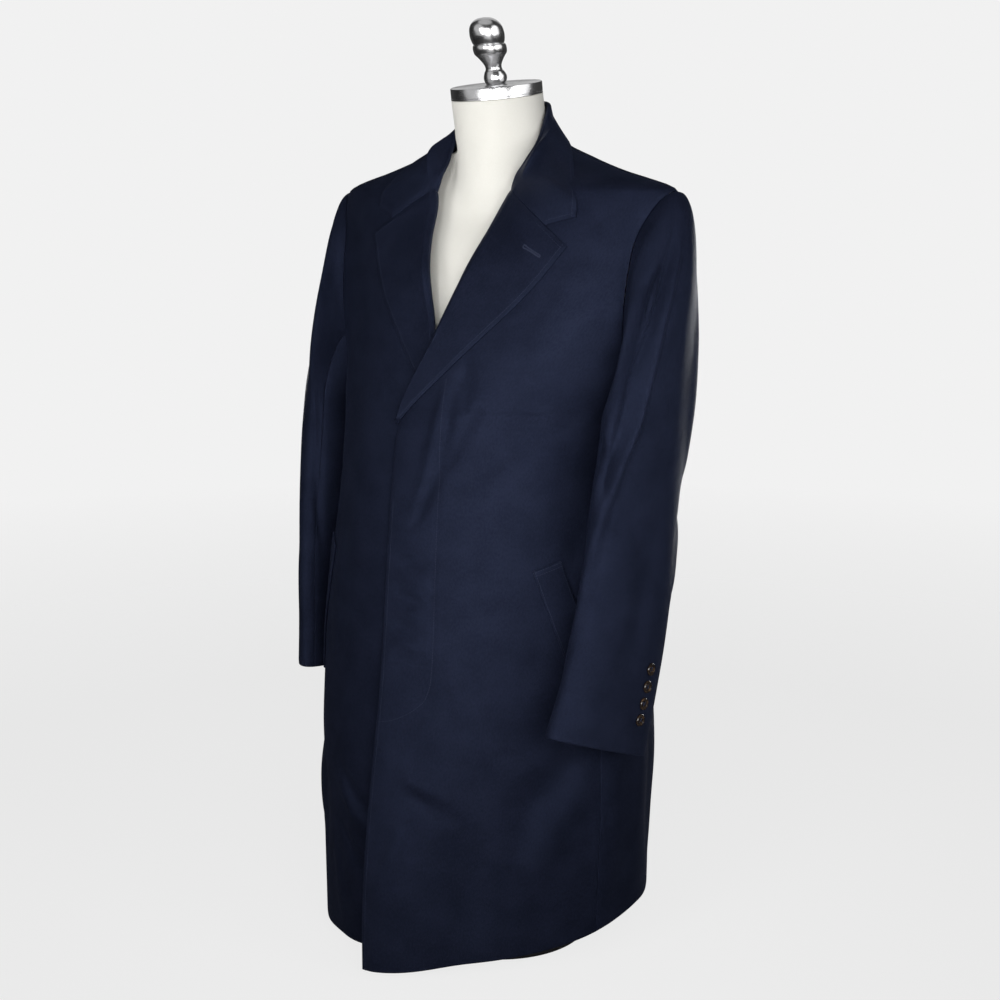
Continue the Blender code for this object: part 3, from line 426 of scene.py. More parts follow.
def sleeve_point(side, around, along):
    """The whole sleeve: along runs 0..1 over the head and 1..2 down the arm."""
    if along >= 1.0:
        return arm_point(side, around, HEAD_END + (1 - HEAD_END) * (along - 1.0))
    swing = math.radians(around)
    start = plain_body(*armhole_point(side, around))
    start += Vector((side, math.cos(swing), -math.sin(swing))) * (0.8 * SEAM)
    finish = arm_point(side, around, HEAD_END)
    down = arm_point(side, around, HEAD_END + 0.04) - finish
    span = (finish - start).length
    top = 0.5 + 0.5 * math.sin(swing)
    leave = Vector((side, -0.25 * math.cos(swing), 0.05)).normalized() * span
    leave *= HEAD_LEAVE_LOW + (HEAD_LEAVE_TOP - HEAD_LEAVE_LOW) * top
    arrive = down.normalized() * span * (1.0 + 0.35 * top)
    t = along
    return (start * (1 + 2 * t) * (1 - t) ** 2 + finish * t * t * (3 - 2 * t)
            + leave * t * (1 - t) ** 2 - arrive * t * t * (1 - t))


# %% [markdown]
# A lapel is the front's own cloth turned back on its roll line. The collar's fall turns
# over a fold round the neck and ends on the chest beside the lapel, at the gorge seam.

# %% The surfaces of the lapel and the collar
def turned_edge(side, x, level, radius, k):
    """Step k of the half turn that a front's edge makes round its turning line."""
    swing = math.pi * k / ROLL_STEPS
    x += radius * (1 - math.sin(swing))
    out = radius - CLOTH / 2 - (radius + CLOTH / 2) * math.cos(swing)
    return front(side, side * angle_at(side * x, level), level, out)


def gorge_line(side, q, beyond):
    """Along the gorge seam to the notch at q = 0.6, then to the point called beyond."""
    start = Edge(GORGE.level, gorge_start(side) + COLLAR_RADIUS)
    notch = moved(side, NOTCH, RIGHT_NOTCH_IN)
    low, high, t = (start, notch, q / 0.6) if q <= 0.6 else (notch, beyond, (q - 0.6) / 0.4)
    raised = LAPEL_RAISE * q if side < 0 else 0.0
    return low.x + (high.x - low.x) * t, low.level + (high.level - low.level) * t + raised


def over_chest(side, x, level, q):
    """A point of a turned-back piece, q = 0 at its fold and 1 at its outer edge."""
    out = COLLAR_LIES + (2 * roll_radius(level) - 0.001) * (1 - q) ** 2
    return front(side, side * angle_at(side * x, level), level, out)


def collar_crest(side, share):
    """The fold's crest, and the directions in which it points and in which its inside lies."""
    crest = Vector([read(COLLAR, axis, share, "share") for axis in "xyz"])
    crest.x *= side
    inward = Vector((-crest.x, 0.005 - crest.y, 0.0)).normalized()
    rising = Vector((0, 0, 0.95)) + inward * 0.31
    inside = inward * 0.95 - Vector((0, 0, 0.31))
    level = min(crest.z, NECK - 0.001)
    angle = side * angle_at(crest.x, level)
    out = body_normal(side * angle, level)
    across = (front(side, angle + 1, level) - front(side, angle - 1, level)).normalized()
    lying = read(COLLAR, "lying", share, "share")
    rising = (rising.normalized() * (1 - lying) - across * lying).normalized()
    inside = inside.normalized() * (1 - lying) - out * lying
    inside = (inside - rising * inside.dot(rising)).normalized()
    return crest, rising, inside


def fall_row(side, share):
    """Across the collar: half a turn over the fold, then down to the fall's outer edge."""
    if share >= 1.0:
        row = [turned_edge(side, gorge_start(side), GORGE.level, COLLAR_RADIUS, k)
               for k in range(ROLL_STEPS + 1)]
        for k in range(1, FALL_COLUMNS + 1):
            x, level = gorge_line(side, k / FALL_COLUMNS,
                                  moved(side, COLLAR_POINT, RIGHT_POINT_IN))
            row.append(over_chest(side, x, level, k / FALL_COLUMNS))
        return row
    crest, rising, inside = collar_crest(side, share)
    middle = crest - rising * COLLAR_RADIUS
    row = []
    for k in range(ROLL_STEPS + 1):
        swing = math.pi * k / ROLL_STEPS
        reach = COLLAR_RADIUS + CLOTH / 2
        row.append(middle + inside * reach * math.cos(swing) + rising * reach * math.sin(swing))
    angle = read(COLLAR, "angle", share, "share")
    angle -= RIGHT_COLLAR_TURN * ease(share, 0.7, 1.0) if side < 0 else 0.0
    level = read(COLLAR, "level", share, "share")
    level += LAPEL_RAISE * ease(share, 0.7, 1.0) if side < 0 else 0.0
    edge = body(side * angle, level, COLLAR_LIES)
    straight = read(COLLAR, "straight", share, "share")
    start_angle, start_level = neckline(side, share)
    lift = ease(share, 0.50, 0.62) * (1 - ease(share, 0.75, 0.97))
    for k in range(1, FALL_COLUMNS + 1):
        q = k / FALL_COLUMNS
        direct = row[ROLL_STEPS].lerp(edge, q)
        q = (k - 1) / (FALL_COLUMNS - 1)
        out = COLLAR_LIES + (0.002 + FALL_LIFT * lift) * (1 - q) ** 2
        lain = front(side, start_angle + (angle - start_angle) * q,
                     start_level + (level - start_level) * q, out)
        row.append(lain.lerp(direct, straight))
    return row


def neckline(side, share):
    """The angle and level of the panels' edge where the stand is sewn to it."""
    corner = side * angle_at(side * (ROLL[-1].x + roll_radius(NECK)), NECK)
    if share <= STAND_TURN:
        return 180.0 - (180.0 - corner) * share / STAND_TURN, NECK
    t = (share - STAND_TURN) / (1 - STAND_TURN)
    level = NECK - (NECK - GORGE.level) * t ** 1.4
    own, other = roll_line(side, level), roll_line(1, level)
    x = other + (own - other) * t + roll_radius(level)
    return side * angle_at(side * x, level), level


def stand_foot(side, share):
    angle, level = neckline(side, share)
    if share <= STAND_TURN:
        return front(side, angle, level, -0.9 * CLOTH) + Vector((0, 0, 0.0008))
    step = front(side, angle + 1, level) - front(side, angle, level)
    return front(side, angle, level, -CLOTH) - step.normalized() * 0.0007


# %% [markdown]
# Geometry in Blender is quick when whole grids of points are handled at once. These
# helpers turn a surface into a grid, refine it with a smooth curve through its points, and
# find its normals.

# %% Grids of points
def grid_of(rows):
    """Rows of points as one array: row, column, xyz."""
    return np.array([[tuple(p) for p in row] for row in rows])


def along_axis(grid, places, marks=None):
    """Smooth values between the rows of a grid: marks say where its rows lie."""
    marks = np.arange(len(grid), dtype=float) if marks is None else np.array(marks, dtype=float)
    gap = np.diff(marks)[:, None, None]
    slope = np.diff(grid, axis=0) / gap
    middle = (slope[:-1] * gap[1:] + slope[1:] * gap[:-1]) / (gap[:-1] + gap[1:])
    lean = np.concatenate([slope[:1], middle, slope[-1:]])
    low = np.clip(np.searchsorted(marks, places, "right") - 1, 0, len(marks) - 2)
    size = gap[low]
    t = ((places - marks[low]) / gap[low, 0, 0])[:, None, None]
    return (grid[low] * (1 + 2 * t) * (1 - t) ** 2 + grid[low + 1] * t * t * (3 - 2 * t)
            + size * (lean[low] * t * (1 - t) ** 2 - lean[low + 1] * t * t * (1 - t)))


def refine(grid, down, across, marks=None):
    """The grid at new rows (down, counted on the marks) and fractional columns (across)."""
    tall = along_axis(grid, down, marks)
    return along_axis(tall.transpose(1, 0, 2), across).transpose(1, 0, 2)


def spread(cells, count, cell_size):
    """Fractional places over cells, with a few extra ones close to both ends."""
    close = [d / cell_size for d in EDGE_STEPS if d / cell_size < cells / 3]
    inner = list(np.linspace(0, cells, count + 1)[1:-1])
    inner = [k for k in inner if close[-1] * 1.3 < k < cells - close[-1] * 1.3]
    return np.array(close + inner + [cells - k for k in reversed(close)])


def steps(grid, axis):
    """Distances between neighbours along an axis, added up from the first."""
    size = np.linalg.norm(np.diff(grid, axis=axis), axis=2)
    pad = [(0, 0), (0, 0)]
    pad[axis] = (1, 0)
    return np.cumsum(np.pad(size, pad), axis=axis)


def normals_of(grid, sign=1.0):
    across = np.gradient(grid, axis=1)
    up = np.gradient(grid, axis=0)
    found = np.cross(across, up)
    return sign * found / np.maximum(np.linalg.norm(found, axis=2), 1e-12)[..., None]


EDGE_STEPS = (0.0, 0.0003, 0.0008, 0.0016, 0.0030, 0.0055)

# %% [markdown]
# Wool cloth of this weight falls in long soft folds, not in sharp wrinkles. Each fold is
# listed: a short path on the garment, how wide and how high it is (below zero for a
# trough), and it fades at both its ends. A fold is written for one side of the coat, and
# the hidden side and the back have folds of their own.

# %% Folds of the body
Fold = namedtuple("Fold", "piece width high path")
FOLDS = [
    # the wearer's left front: the fly's long fold, its puckers, the skirt's folds
    Fold("left_front", 0.009, 0.0034, [(8, 0.735), (8, 0.69), (7, 0.643), (3, 0.597)]),
    Fold("left_front", 0.009, -0.0030, [(12, 0.73), (11, 0.664), (9, 0.63), (4, 0.578),
                                        (0, 0.56)]),
    Fold("left_front", 0.010, -0.0034, [(12, 0.765), (14, 0.745), (17, 0.70)]),
    Fold("left_front", 0.009, -0.0022, [(22, 0.72), (18, 0.68), (13, 0.63)]),
    Fold("left_front", 0.009, -0.0019, [(-4, 0.532), (3, 0.522), (9, 0.527)]),
    Fold("left_front", 0.008, 0.0022, [(-2, 0.505), (4, 0.497), (11, 0.490)]),
    Fold("left_front", 0.007, -0.0018, [(-4, 0.487), (2, 0.480), (8, 0.474)]),
    Fold("left_front", 0.007, 0.0018, [(-3, 0.468), (4, 0.462), (10, 0.455)]),
    Fold("left_front", 0.007, -0.0019, [(-4, 0.448), (2, 0.444), (8, 0.440)]),
    Fold("left_front", 0.007, 0.0019, [(-2, 0.430), (4, 0.426), (10, 0.420)]),
    Fold("left_front", 0.008, -0.0016, [(-4, 0.410), (3, 0.405), (9, 0.398)]),
    Fold("left_front", 0.011, 0.0024, [(4, 0.266), (10, 0.252), (18, 0.234)]),
    Fold("left_front", 0.011, -0.0025, [(2, 0.252), (12, 0.228), (22, 0.205)]),
    Fold("left_front", 0.008, -0.0018, [(15, 0.378), (17, 0.352), (20, 0.305)]),
    Fold("left_front", 0.026, -0.0060, [(60, 0.290), (50, 0.250), (42, 0.208), (38, 0.140)]),
    Fold("left_front", 0.024, 0.0034, [(64, 0.250), (57, 0.212), (50, 0.180), (45, 0.120)]),
    Fold("left_front", 0.014, 0.0037, [(4, 0.210), (0, 0.150), (-3, 0.080)]),
    Fold("left_front", 0.035, 0.0037, [(26, 0.810), (42, 0.745), (56, 0.690)]),
    Fold("left_front", 0.030, -0.0075, [(80, 0.730), (68, 0.640), (59, 0.540), (54, 0.460)]),
    Fold("left_front", 0.0036, -0.0007, [(9, 0.70), (11, 0.595), (11, 0.480), (11, 0.389),
                                         (9, 0.360), (3, 0.342), (-7, 0.328)]),
    Fold("left_front", 0.022, -0.0044, [(26, 0.180), (24, 0.110), (23, 0.030)]),
    Fold("left_front", 0.024, 0.0050, [(74, 0.300), (72, 0.180), (70, 0.040)]),
    # the right front, partly under the left one
    Fold("right_front", 0.011, -0.0035, [(30, 0.256), (21, 0.225), (12, 0.190)]),
    Fold("right_front", 0.010, 0.0032, [(29, 0.232), (21, 0.200), (13, 0.168)]),
    Fold("right_front", 0.010, -0.0032, [(29, 0.178), (22, 0.145), (15, 0.112)]),
    Fold("right_front", 0.012, 0.0025, [(34, 0.150), (30, 0.100), (28, 0.040)]),
    Fold("right_front", 0.018, -0.0050, [(64, 0.300), (54, 0.250), (47, 0.190), (44, 0.110)]),
    Fold("right_front", 0.017, 0.0050, [(70, 0.260), (62, 0.205), (54, 0.150)]),
    Fold("right_front", 0.016, -0.0040, [(72, 0.690), (62, 0.645), (50, 0.600)]),
    Fold("right_front", 0.030, 0.0031, [(30, 0.800), (44, 0.740), (60, 0.680)]),
    Fold("right_front", 0.020, 0.0032, [(40, 0.560), (36, 0.470), (34, 0.380)]),
    # the backs: soft folds from the shoulder blades and from the seat to the hem
    Fold("left_back", 0.022, -0.0060, [(112, 0.720), (128, 0.640), (142, 0.585)]),
    Fold("left_back", 0.020, 0.0052, [(106, 0.660), (120, 0.590), (134, 0.540)]),
    Fold("left_back", 0.030, 0.0050, [(150, 0.860), (146, 0.780), (138, 0.700)]),
    Fold("left_back", 0.026, -0.0063, [(136, 0.420), (140, 0.280), (143, 0.060)]),
    Fold("left_back", 0.024, 0.0063, [(120, 0.400), (122, 0.230), (121, 0.050)]),
    Fold("left_back", 0.018, -0.0050, [(104, 0.330), (108, 0.190), (109, 0.040)]),
    Fold("left_back", 0.020, 0.0045, [(162, 0.360), (160, 0.210), (158, 0.050)]),
    Fold("left_back", 0.010, -0.0025, [(168, 0.965), (152, 0.958), (134, 0.950)]),
    Fold("right_back", 0.024, -0.0057, [(108, 0.735), (122, 0.665), (138, 0.610)]),
    Fold("right_back", 0.018, 0.0047, [(110, 0.650), (126, 0.600), (138, 0.556)]),
    Fold("right_back", 0.032, 0.0052, [(154, 0.880), (150, 0.790), (143, 0.690)]),
    Fold("right_back", 0.028, -0.0063, [(146, 0.460), (149, 0.300), (152, 0.050)]),
    Fold("right_back", 0.022, 0.0063, [(130, 0.380), (134, 0.220), (134, 0.040)]),
    Fold("right_back", 0.020, -0.0052, [(110, 0.360), (116, 0.200), (118, 0.050)]),
    Fold("right_back", 0.019, 0.0040, [(166, 0.330), (168, 0.200), (170, 0.060)]),
    Fold("right_back", 0.010, -0.0022, [(164, 0.972), (150, 0.960), (130, 0.954)]),
    # the left sleeve: from its head run a ridge, two grooves with a small ridge between them,
    # and a narrow crest with a fine crease beside it; the elbow's folds follow
    Fold("left_sleeve", 0.010, 0.0070, [(56, 0.12), (36, 0.20), (20, 0.29), (17, 0.55),
                                        (16, 0.90)]),
    Fold("left_sleeve", 0.0075, -0.0100, [(57, 0.24), (50, 0.38), (36, 0.45), (31, 0.62),
                                          (28, 0.76), (28, 0.94)]),
    Fold("left_sleeve", 0.0040, 0.0040, [(60, 0.32), (52, 0.43), (47, 0.51), (41, 0.60),
                                         (36, 0.72)]),
    Fold("left_sleeve", 0.0080, -0.0120, [(75, 0.16), (70, 0.33), (60, 0.46), (51, 0.60),
                                          (43, 0.70), (36, 0.78), (31, 0.90), (20, 1.04),
                                          (5, 1.16)]),
    Fold("left_sleeve", 0.0066, 0.0080, [(77, 0.18), (74, 0.40), (68, 0.52), (61, 0.62),
                                         (56, 0.76), (50, 0.88), (44, 1.00), (33, 1.09),
                                         (14, 1.28), (1, 1.40), (-20, 1.72)]),
    Fold("left_sleeve", 0.0036, -0.0026, [(80, 0.26), (79, 0.42), (74, 0.54), (68, 0.66),
                                          (62, 0.78), (55, 0.92)]),
    Fold("left_sleeve", 0.022, -0.0042, [(90, 1.25), (88, 1.5), (86, 1.78)]),
    Fold("left_sleeve", 0.012, -0.0048, [(-30, 1.02), (0, 1.12), (26, 1.26)]),
    Fold("left_sleeve", 0.013, -0.0058, [(150, 0.30), (158, 0.62), (164, 0.98)]),
    Fold("left_sleeve", 0.014, 0.0058, [(128, 0.40), (138, 0.80), (150, 1.16)]),
    Fold("left_sleeve", 0.011, -0.0048, [(176, 1.05), (160, 1.20), (140, 1.32)]),
    Fold("left_sleeve", 0.011, 0.0042, [(184, 1.22), (168, 1.36), (150, 1.46)]),
    Fold("left_sleeve", 0.012, -0.0048, [(250, 0.70), (262, 0.98), (286, 1.20)]),
    Fold("left_sleeve", 0.012, 0.0045, [(270, 1.05), (290, 1.28), (312, 1.44)]),
    # the right sleeve, a little different
    Fold("right_sleeve", 0.011, 0.0061, [(54, 0.18), (36, 0.30), (22, 0.42), (12, 0.62),
                                         (12, 0.86)]),
    Fold("right_sleeve", 0.012, -0.0083, [(76, 0.28), (64, 0.46), (52, 0.66), (40, 0.90)]),
    Fold("right_sleeve", 0.015, 0.0064, [(70, 0.52), (60, 0.74), (48, 1.00), (30, 1.26),
                                         (8, 1.52)]),
    Fold("right_sleeve", 0.008, -0.0054, [(0, 0.84), (-6, 1.05), (-14, 1.26), (-26, 1.38),
                                          (-38, 1.50)]),
    Fold("right_sleeve", 0.020, -0.0042, [(94, 1.20), (90, 1.46), (92, 1.74)]),
    Fold("right_sleeve", 0.013, -0.0054, [(146, 0.34), (156, 0.66), (160, 1.04)]),
    Fold("right_sleeve", 0.012, 0.0054, [(126, 0.44), (140, 0.84), (148, 1.10)]),
    Fold("right_sleeve", 0.011, -0.0045, [(180, 1.10), (160, 1.24), (136, 1.40)]),
    Fold("right_sleeve", 0.012, 0.0042, [(262, 1.00), (284, 1.24), (308, 1.42)]),
]


def fold_points(fold):
    """A fold's path as points: body folds are (angle, level), sleeve folds (around, along)."""
    side = 1 if fold.piece.startswith("left") else -1
    if fold.piece.endswith("sleeve"):
        marks = [sleeve_point(side, around, along) for around, along in fold.path]
    elif fold.piece.endswith("front"):
        marks = [front(side, angle, level) for angle, level in fold.path]
    else:
        marks = [body(side * angle, level) for angle, level in fold.path]
    marks = np.array([tuple(p) for p in marks])[:, None, :]
    count = max(3, 6 * (len(marks) - 1))
    return along_axis(marks, np.linspace(0, len(marks) - 1, count + 1))[:, 0, :]


def fold_height(points, fold):
    """How much one fold lifts each of the points."""
    path = fold_points(fold)
    near = 3.2 * fold.width
    low, high = path.min(axis=0) - near, path.max(axis=0) + near
    inside = np.all((points > low) & (points < high), axis=1)
    lift = np.zeros(len(points))
    if not inside.any():
        return lift
    close = points[inside]
    best = np.full(len(close), 1e9)
    share = np.zeros(len(close))
    lengths = np.linalg.norm(np.diff(path, axis=0), axis=1)
    done = np.concatenate([[0], np.cumsum(lengths)]) / lengths.sum()
    for k, (start, step) in enumerate(zip(path[:-1], np.diff(path, axis=0))):
        t = np.clip(((close - start) @ step) / (step @ step), 0, 1)
        away = np.linalg.norm(close - start - t[:, None] * step, axis=1)
        nearer = away < best
        best = np.where(nearer, away, best)
        share = np.where(nearer, done[k] + t * (done[k + 1] - done[k]), share)
    fade = np.sin(np.pi * np.clip(share, 0.02, 0.98)) ** 0.7
    uneven = 1 + 0.22 * np.sin(9 * share + 70 * fold.width + 3 * fold.path[0][1])
    width = fold.width * (0.7 + 0.3 * fade) * uneven
    lift[inside] = fold.high * fade * np.exp(-(best / width) ** 2)
    return lift


WAVES = [  # a slow unevenness that all hung cloth has: metres across one wave, and its height
    (0.31, 0.0007), (0.19, 0.0005), (0.115, 0.00032), (0.071, 0.0002), (0.043, 0.0001),
]


def unevenness(points):
    lift = np.zeros(len(points))
    for number, (size, high) in enumerate(WAVES):
        turn = 2.4 * number
        for part in range(3):
            swing = turn + part * 2.1
            lean = 0.55 * math.sin(3.7 * number + 1.9 * part)
            way = np.array([math.cos(swing), math.sin(swing), lean]) * (2 * math.pi / size)
            lift += high / 3 * np.sin(points @ way + 1.3 * number + 4.1 * part)
    return lift


def drape(points, kind):
    """All the folds that reach a body piece or a sleeve, added up."""
    flat = points.reshape(-1, 3)
    lift = unevenness(flat)
    for fold in FOLDS:
        if fold.piece in kind:
            lift += fold_height(flat, fold)
    return lift.reshape(points.shape[:2])


print("folds:", len(FOLDS))

# %% [markdown]
# Each cut piece becomes a closed sheet: an outer face, a lining side behind it, and a
# rounded edge between them, because a folded and pressed cloth edge is never sharp. A UV
# map measured in metres lets the weave follow the cloth.

# %% A sheet of cloth
def round_edge(outer, thickness, rims):
    """How far each face draws in near the piece's edges: rims is 1 on a free edge, less on a
    seam, for the first row, the last row, the first column and the last column."""
    down, over = steps(outer, 0), steps(outer, 1)
    radius = 0.5 * thickness
    draw = np.zeros(outer.shape[:2])
    for away, rim in zip((down, down[-1:] - down, over, over[:, -1:] - over), rims):
        t = np.clip(away / (1.2 * radius * max(rim, 0.3)), 0, 1)
        sunk = 0.84 * radius * rim * (1 - np.sqrt(np.maximum(0.0, 1 - (1 - t) ** 2)))
        draw = np.maximum(draw, sunk)
    return draw


def soft_edge(outer, width, depth):
    """Pressing thins the cloth a little all along a seam or an edge."""
    down, over = steps(outer, 0), steps(outer, 1)
    away = np.minimum.reduce([down, down[-1:] - down, over, over[:, -1:] - over])
    return depth * np.exp(-(away / width) ** 2)


def cloth_piece(name, outer, normals, finish, thickness=CLOTH, flip=False, turn_weave=0.0,
                rims=(1.0, 1.0, 1.0, 1.0), anchor=0.5):
    """A closed sheet from the outer face, with its UV map in metres."""
    draw = round_edge(outer, thickness, rims)[..., None] * normals
    inner = outer - normals * thickness + draw
    face = outer - draw
    rows, columns = outer.shape[:2]
    points = np.concatenate([face.reshape(-1, 3), inner.reshape(-1, 3)])
    number = np.arange(rows * columns).reshape(rows, columns)
    quads = np.stack([number[:-1, :-1], number[:-1, 1:], number[1:, 1:], number[1:, :-1]], -1)
    quads = quads.reshape(-1, 4)
    rim = np.concatenate([number[0, :-1], number[:-1, -1], number[-1, :0:-1], number[:0:-1, 0]])
    after = np.roll(rim, -1)
    shift = rows * columns
    sides = np.stack([rim, rim + shift, after + shift, after], -1)
    faces = np.concatenate([quads, quads[:, ::-1] + shift, sides])
    if flip:
        faces = faces[:, ::-1]
    over = steps(outer, 1)
    over = over - over[:, -1:] * anchor
    down = np.broadcast_to(steps(outer, 0).mean(axis=1)[:, None], (rows, columns))
    flat = np.stack([over, down], -1).reshape(-1, 2)
    lean = math.radians(turn_weave)
    turned_flat = np.stack([flat[:, 0] * math.cos(lean) - flat[:, 1] * math.sin(lean),
                            flat[:, 0] * math.sin(lean) + flat[:, 1] * math.cos(lean)], -1)
    mesh = bpy.data.meshes.new(name)
    mesh.from_pydata(points.tolist(), [], faces.tolist())
    layer = mesh.uv_layers.new(name="cloth")
    weave = np.concatenate([turned_flat, turned_flat])[faces.reshape(-1)]
    layer.data.foreach_set("uv", weave.astype(np.float32).reshape(-1))
    mesh.materials.append(finish)
    mesh.shade_smooth()
    piece = bpy.data.objects.new(name, mesh)
    bpy.context.scene.collection.objects.link(piece)
    return piece


def seat(piece, node, body_name="root"):
    """The piece takes the node's place and rides on the body."""
    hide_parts(node)
    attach(piece, body_name)
    return piece

# %% [markdown]
# A shader node group is a small machine that several finishes can share. This one makes a
# twill: fine ribs that climb from left to right, because each weft thread passes over two
# warp threads and then steps aside. It puts out a height for the bump and a shade.

# %% Node helpers
def new_group(name, inputs, outputs):
    """A shader node group with float, vector or colour sockets."""
    tree = bpy.data.node_groups.new(name, "ShaderNodeTree")
    kinds = {"float": "NodeSocketFloat", "vector": "NodeSocketVector", "colour": "NodeSocketColor"}
    for label, kind, value in inputs:
        made = tree.interface.new_socket(name=label, in_out="INPUT", socket_type=kinds[kind])
        if value is not None:
            made.default_value = value
    for label, kind in outputs:
        tree.interface.new_socket(name=label, in_out="OUTPUT", socket_type=kinds[kind])
    return tree, tree.nodes.new("NodeGroupInput"), tree.nodes.new("NodeGroupOutput")


def feed(tree, socket, value):
    """Link an output socket, or set a plain value."""
    if isinstance(value, bpy.types.NodeSocket):
        tree.links.new(value, socket)
    elif value is not None:
        socket.default_value = value


def maths(tree, operation, *values):
    made = tree.nodes.new("ShaderNodeMath")
    made.operation = operation
    for socket, value in zip(made.inputs, values):
        feed(tree, socket, value)
    return made.outputs[0]


def noise(tree, place, scale, detail=3.0, rough=0.55):
    made = tree.nodes.new("ShaderNodeTexNoise")
    feed(tree, made.inputs["Vector"], place)
    feed(tree, made.inputs["Scale"], scale)
    made.inputs["Detail"].default_value = detail
    made.inputs["Roughness"].default_value = rough
    return made.outputs["Fac"]


def stretched(tree, place, size):
    made = tree.nodes.new("ShaderNodeMapping")
    feed(tree, made.inputs["Vector"], place)
    made.inputs["Scale"].default_value = size
    return made.outputs[0]


def span(tree, value, low, high, new_low, new_high):
    made = tree.nodes.new("ShaderNodeMapRange")
    for socket, number in zip(made.inputs, (value, low, high, new_low, new_high)):
        feed(tree, socket, number)
    return made.outputs[0]


def blend_colours(tree, share, first, second):
    made = tree.nodes.new("ShaderNodeMix")
    made.data_type = "RGBA"
    feed(tree, made.inputs[0], share)
    feed(tree, made.inputs[6], first)
    feed(tree, made.inputs[7], second)
    return made.outputs[2]


# %% The twill weave
def make_twill():
    tree, take, give = new_group(
        "twill_weave",
        [("Place", "vector", None), ("Ribs", "float", 900.0), ("Fuzz", "float", 0.5)],
        [("Height", "float"), ("Shade", "float")])
    place, ribs, fuzz = take.outputs[0], take.outputs[1], take.outputs[2]
    parts = tree.nodes.new("ShaderNodeSeparateXYZ")
    feed(tree, parts.inputs[0], place)
    across, along = parts.outputs[0], parts.outputs[1]
    wander = maths(tree, "MULTIPLY", noise(tree, place, 140.0, 2.0), 0.0012)
    climb = maths(tree, "ADD", maths(tree, "ADD", across, maths(tree, "MULTIPLY", along, 0.8)), wander)
    turn = maths(tree, "MULTIPLY", maths(tree, "MULTIPLY", climb, ribs), 2 * math.pi)
    rib = maths(tree, "SINE", turn)
    warp_turn = maths(tree, "MULTIPLY", maths(tree, "MULTIPLY", across, ribs), 4 * math.pi)
    warp = maths(tree, "MULTIPLY", maths(tree, "SINE", warp_turn), 0.35)
    hairs = noise(tree, stretched(tree, place, (1.0, 0.35, 1.0)), 2600.0, 3.0, 0.7)
    height = maths(tree, "ADD", maths(tree, "ADD", rib, warp), maths(tree, "MULTIPLY", hairs, fuzz))
    feed(tree, give.inputs[0], height)
    slubs = noise(tree, stretched(tree, place, (1.0, 0.55, 1.0)), 430.0, 5.0, 0.8)
    clouds = noise(tree, place, 22.0, 3.0)
    mixed = maths(tree, "ADD", maths(tree, "MULTIPLY", slubs, 0.65), maths(tree, "MULTIPLY", clouds, 0.35))
    ribbed = maths(tree, "ADD", mixed, maths(tree, "MULTIPLY", rib, 0.10))
    feed(tree, give.inputs[1], span(tree, ribbed, 0.36, 0.64, 0.0, 1.0))
    return tree


twill = make_twill()
print("twill inputs:", [socket.name for socket in twill.interface.items_tree])


# %% [markdown]
# The second shared machine is wear: tiny scratches and specks that break a gloss, used on
# metal, horn and enamel alike. Real polished things are never equally smooth all over.

# %% The wear of polished things
def make_wear():
    tree, take, give = new_group(
        "fine_wear",
        [("Place", "vector", None), ("Size", "float", 300.0), ("Scratches", "float", 0.5)],
        [("Roughness", "float"), ("Height", "float")])
    place, size, scratches = take.outputs[0], take.outputs[1], take.outputs[2]
    streaks = noise(tree, stretched(tree, place, (0.25, 0.25, 7.0)), size, 4.0, 0.7)
    specks = noise(tree, place, maths(tree, "MULTIPLY", size, 0.3), 3.0, 0.6)
    mixed = maths(tree, "ADD", maths(tree, "MULTIPLY", streaks, scratches), specks)
    feed(tree, give.inputs[0], span(tree, mixed, 0.4, 1.3, 0.0, 1.0))
    feed(tree, give.inputs[1], mixed)
    return tree


wear = make_wear()


# %% [markdown]
# Each finish has a Principled shader of its own, because sheen, coat and the like are set
# on the shader itself. Wool is matt, with a sheen from the fibres that stand off its face.

# %% Finishes
def new_finish(name):
    made = bpy.data.materials.new(name)
    made.use_nodes = True
    tree = made.node_tree
    return made, tree, tree.nodes["Principled BSDF"]


def place_of(tree, kind="Object"):
    return tree.nodes.new("ShaderNodeTexCoord").outputs[kind]


def put_group(tree, group, **values):
    made = tree.nodes.new("ShaderNodeGroup")
    made.node_tree = group
    for label, value in values.items():
        feed(tree, made.inputs[label], value)
    return made


def bump(tree, height, distance, strength=1.0, below=None):
    made = tree.nodes.new("ShaderNodeBump")
    made.inputs["Strength"].default_value = strength
    made.inputs["Distance"].default_value = distance
    feed(tree, made.inputs["Height"], height)
    feed(tree, made.inputs["Normal"], below)
    return made.outputs[0]


def wool_finish(name, dark, light, ribs=820.0, rib_height=0.00009, sheen=0.08):
    made, tree, shader = new_finish(name)
    weave = put_group(tree, twill, Place=place_of(tree, "UV"), Ribs=ribs, Fuzz=0.9)
    colour = blend_colours(tree, weave.outputs["Shade"], (*dark, 1), (*light, 1))
    feed(tree, shader.inputs["Base Color"], colour)
    feed(tree, shader.inputs["Roughness"], span(tree, weave.outputs["Shade"], 0, 1, 0.62, 0.54))
    crumple = bump(tree, noise(tree, place_of(tree), 38.0, 4.0, 0.5), 0.0010, 0.5)
    feed(tree, shader.inputs["Normal"], bump(tree, weave.outputs["Height"], rib_height, 0.9, crumple))
    shader.inputs["Sheen Weight"].default_value = sheen
    shader.inputs["Sheen Roughness"].default_value = 0.42
    shader.inputs["Sheen Tint"].default_value = (0.18, 0.24, 0.50, 1)
    shader.inputs["Specular IOR Level"].default_value = 0.33
    shader.inputs["Specular Tint"].default_value = (0.40, 0.52, 1.0, 1)
    return made


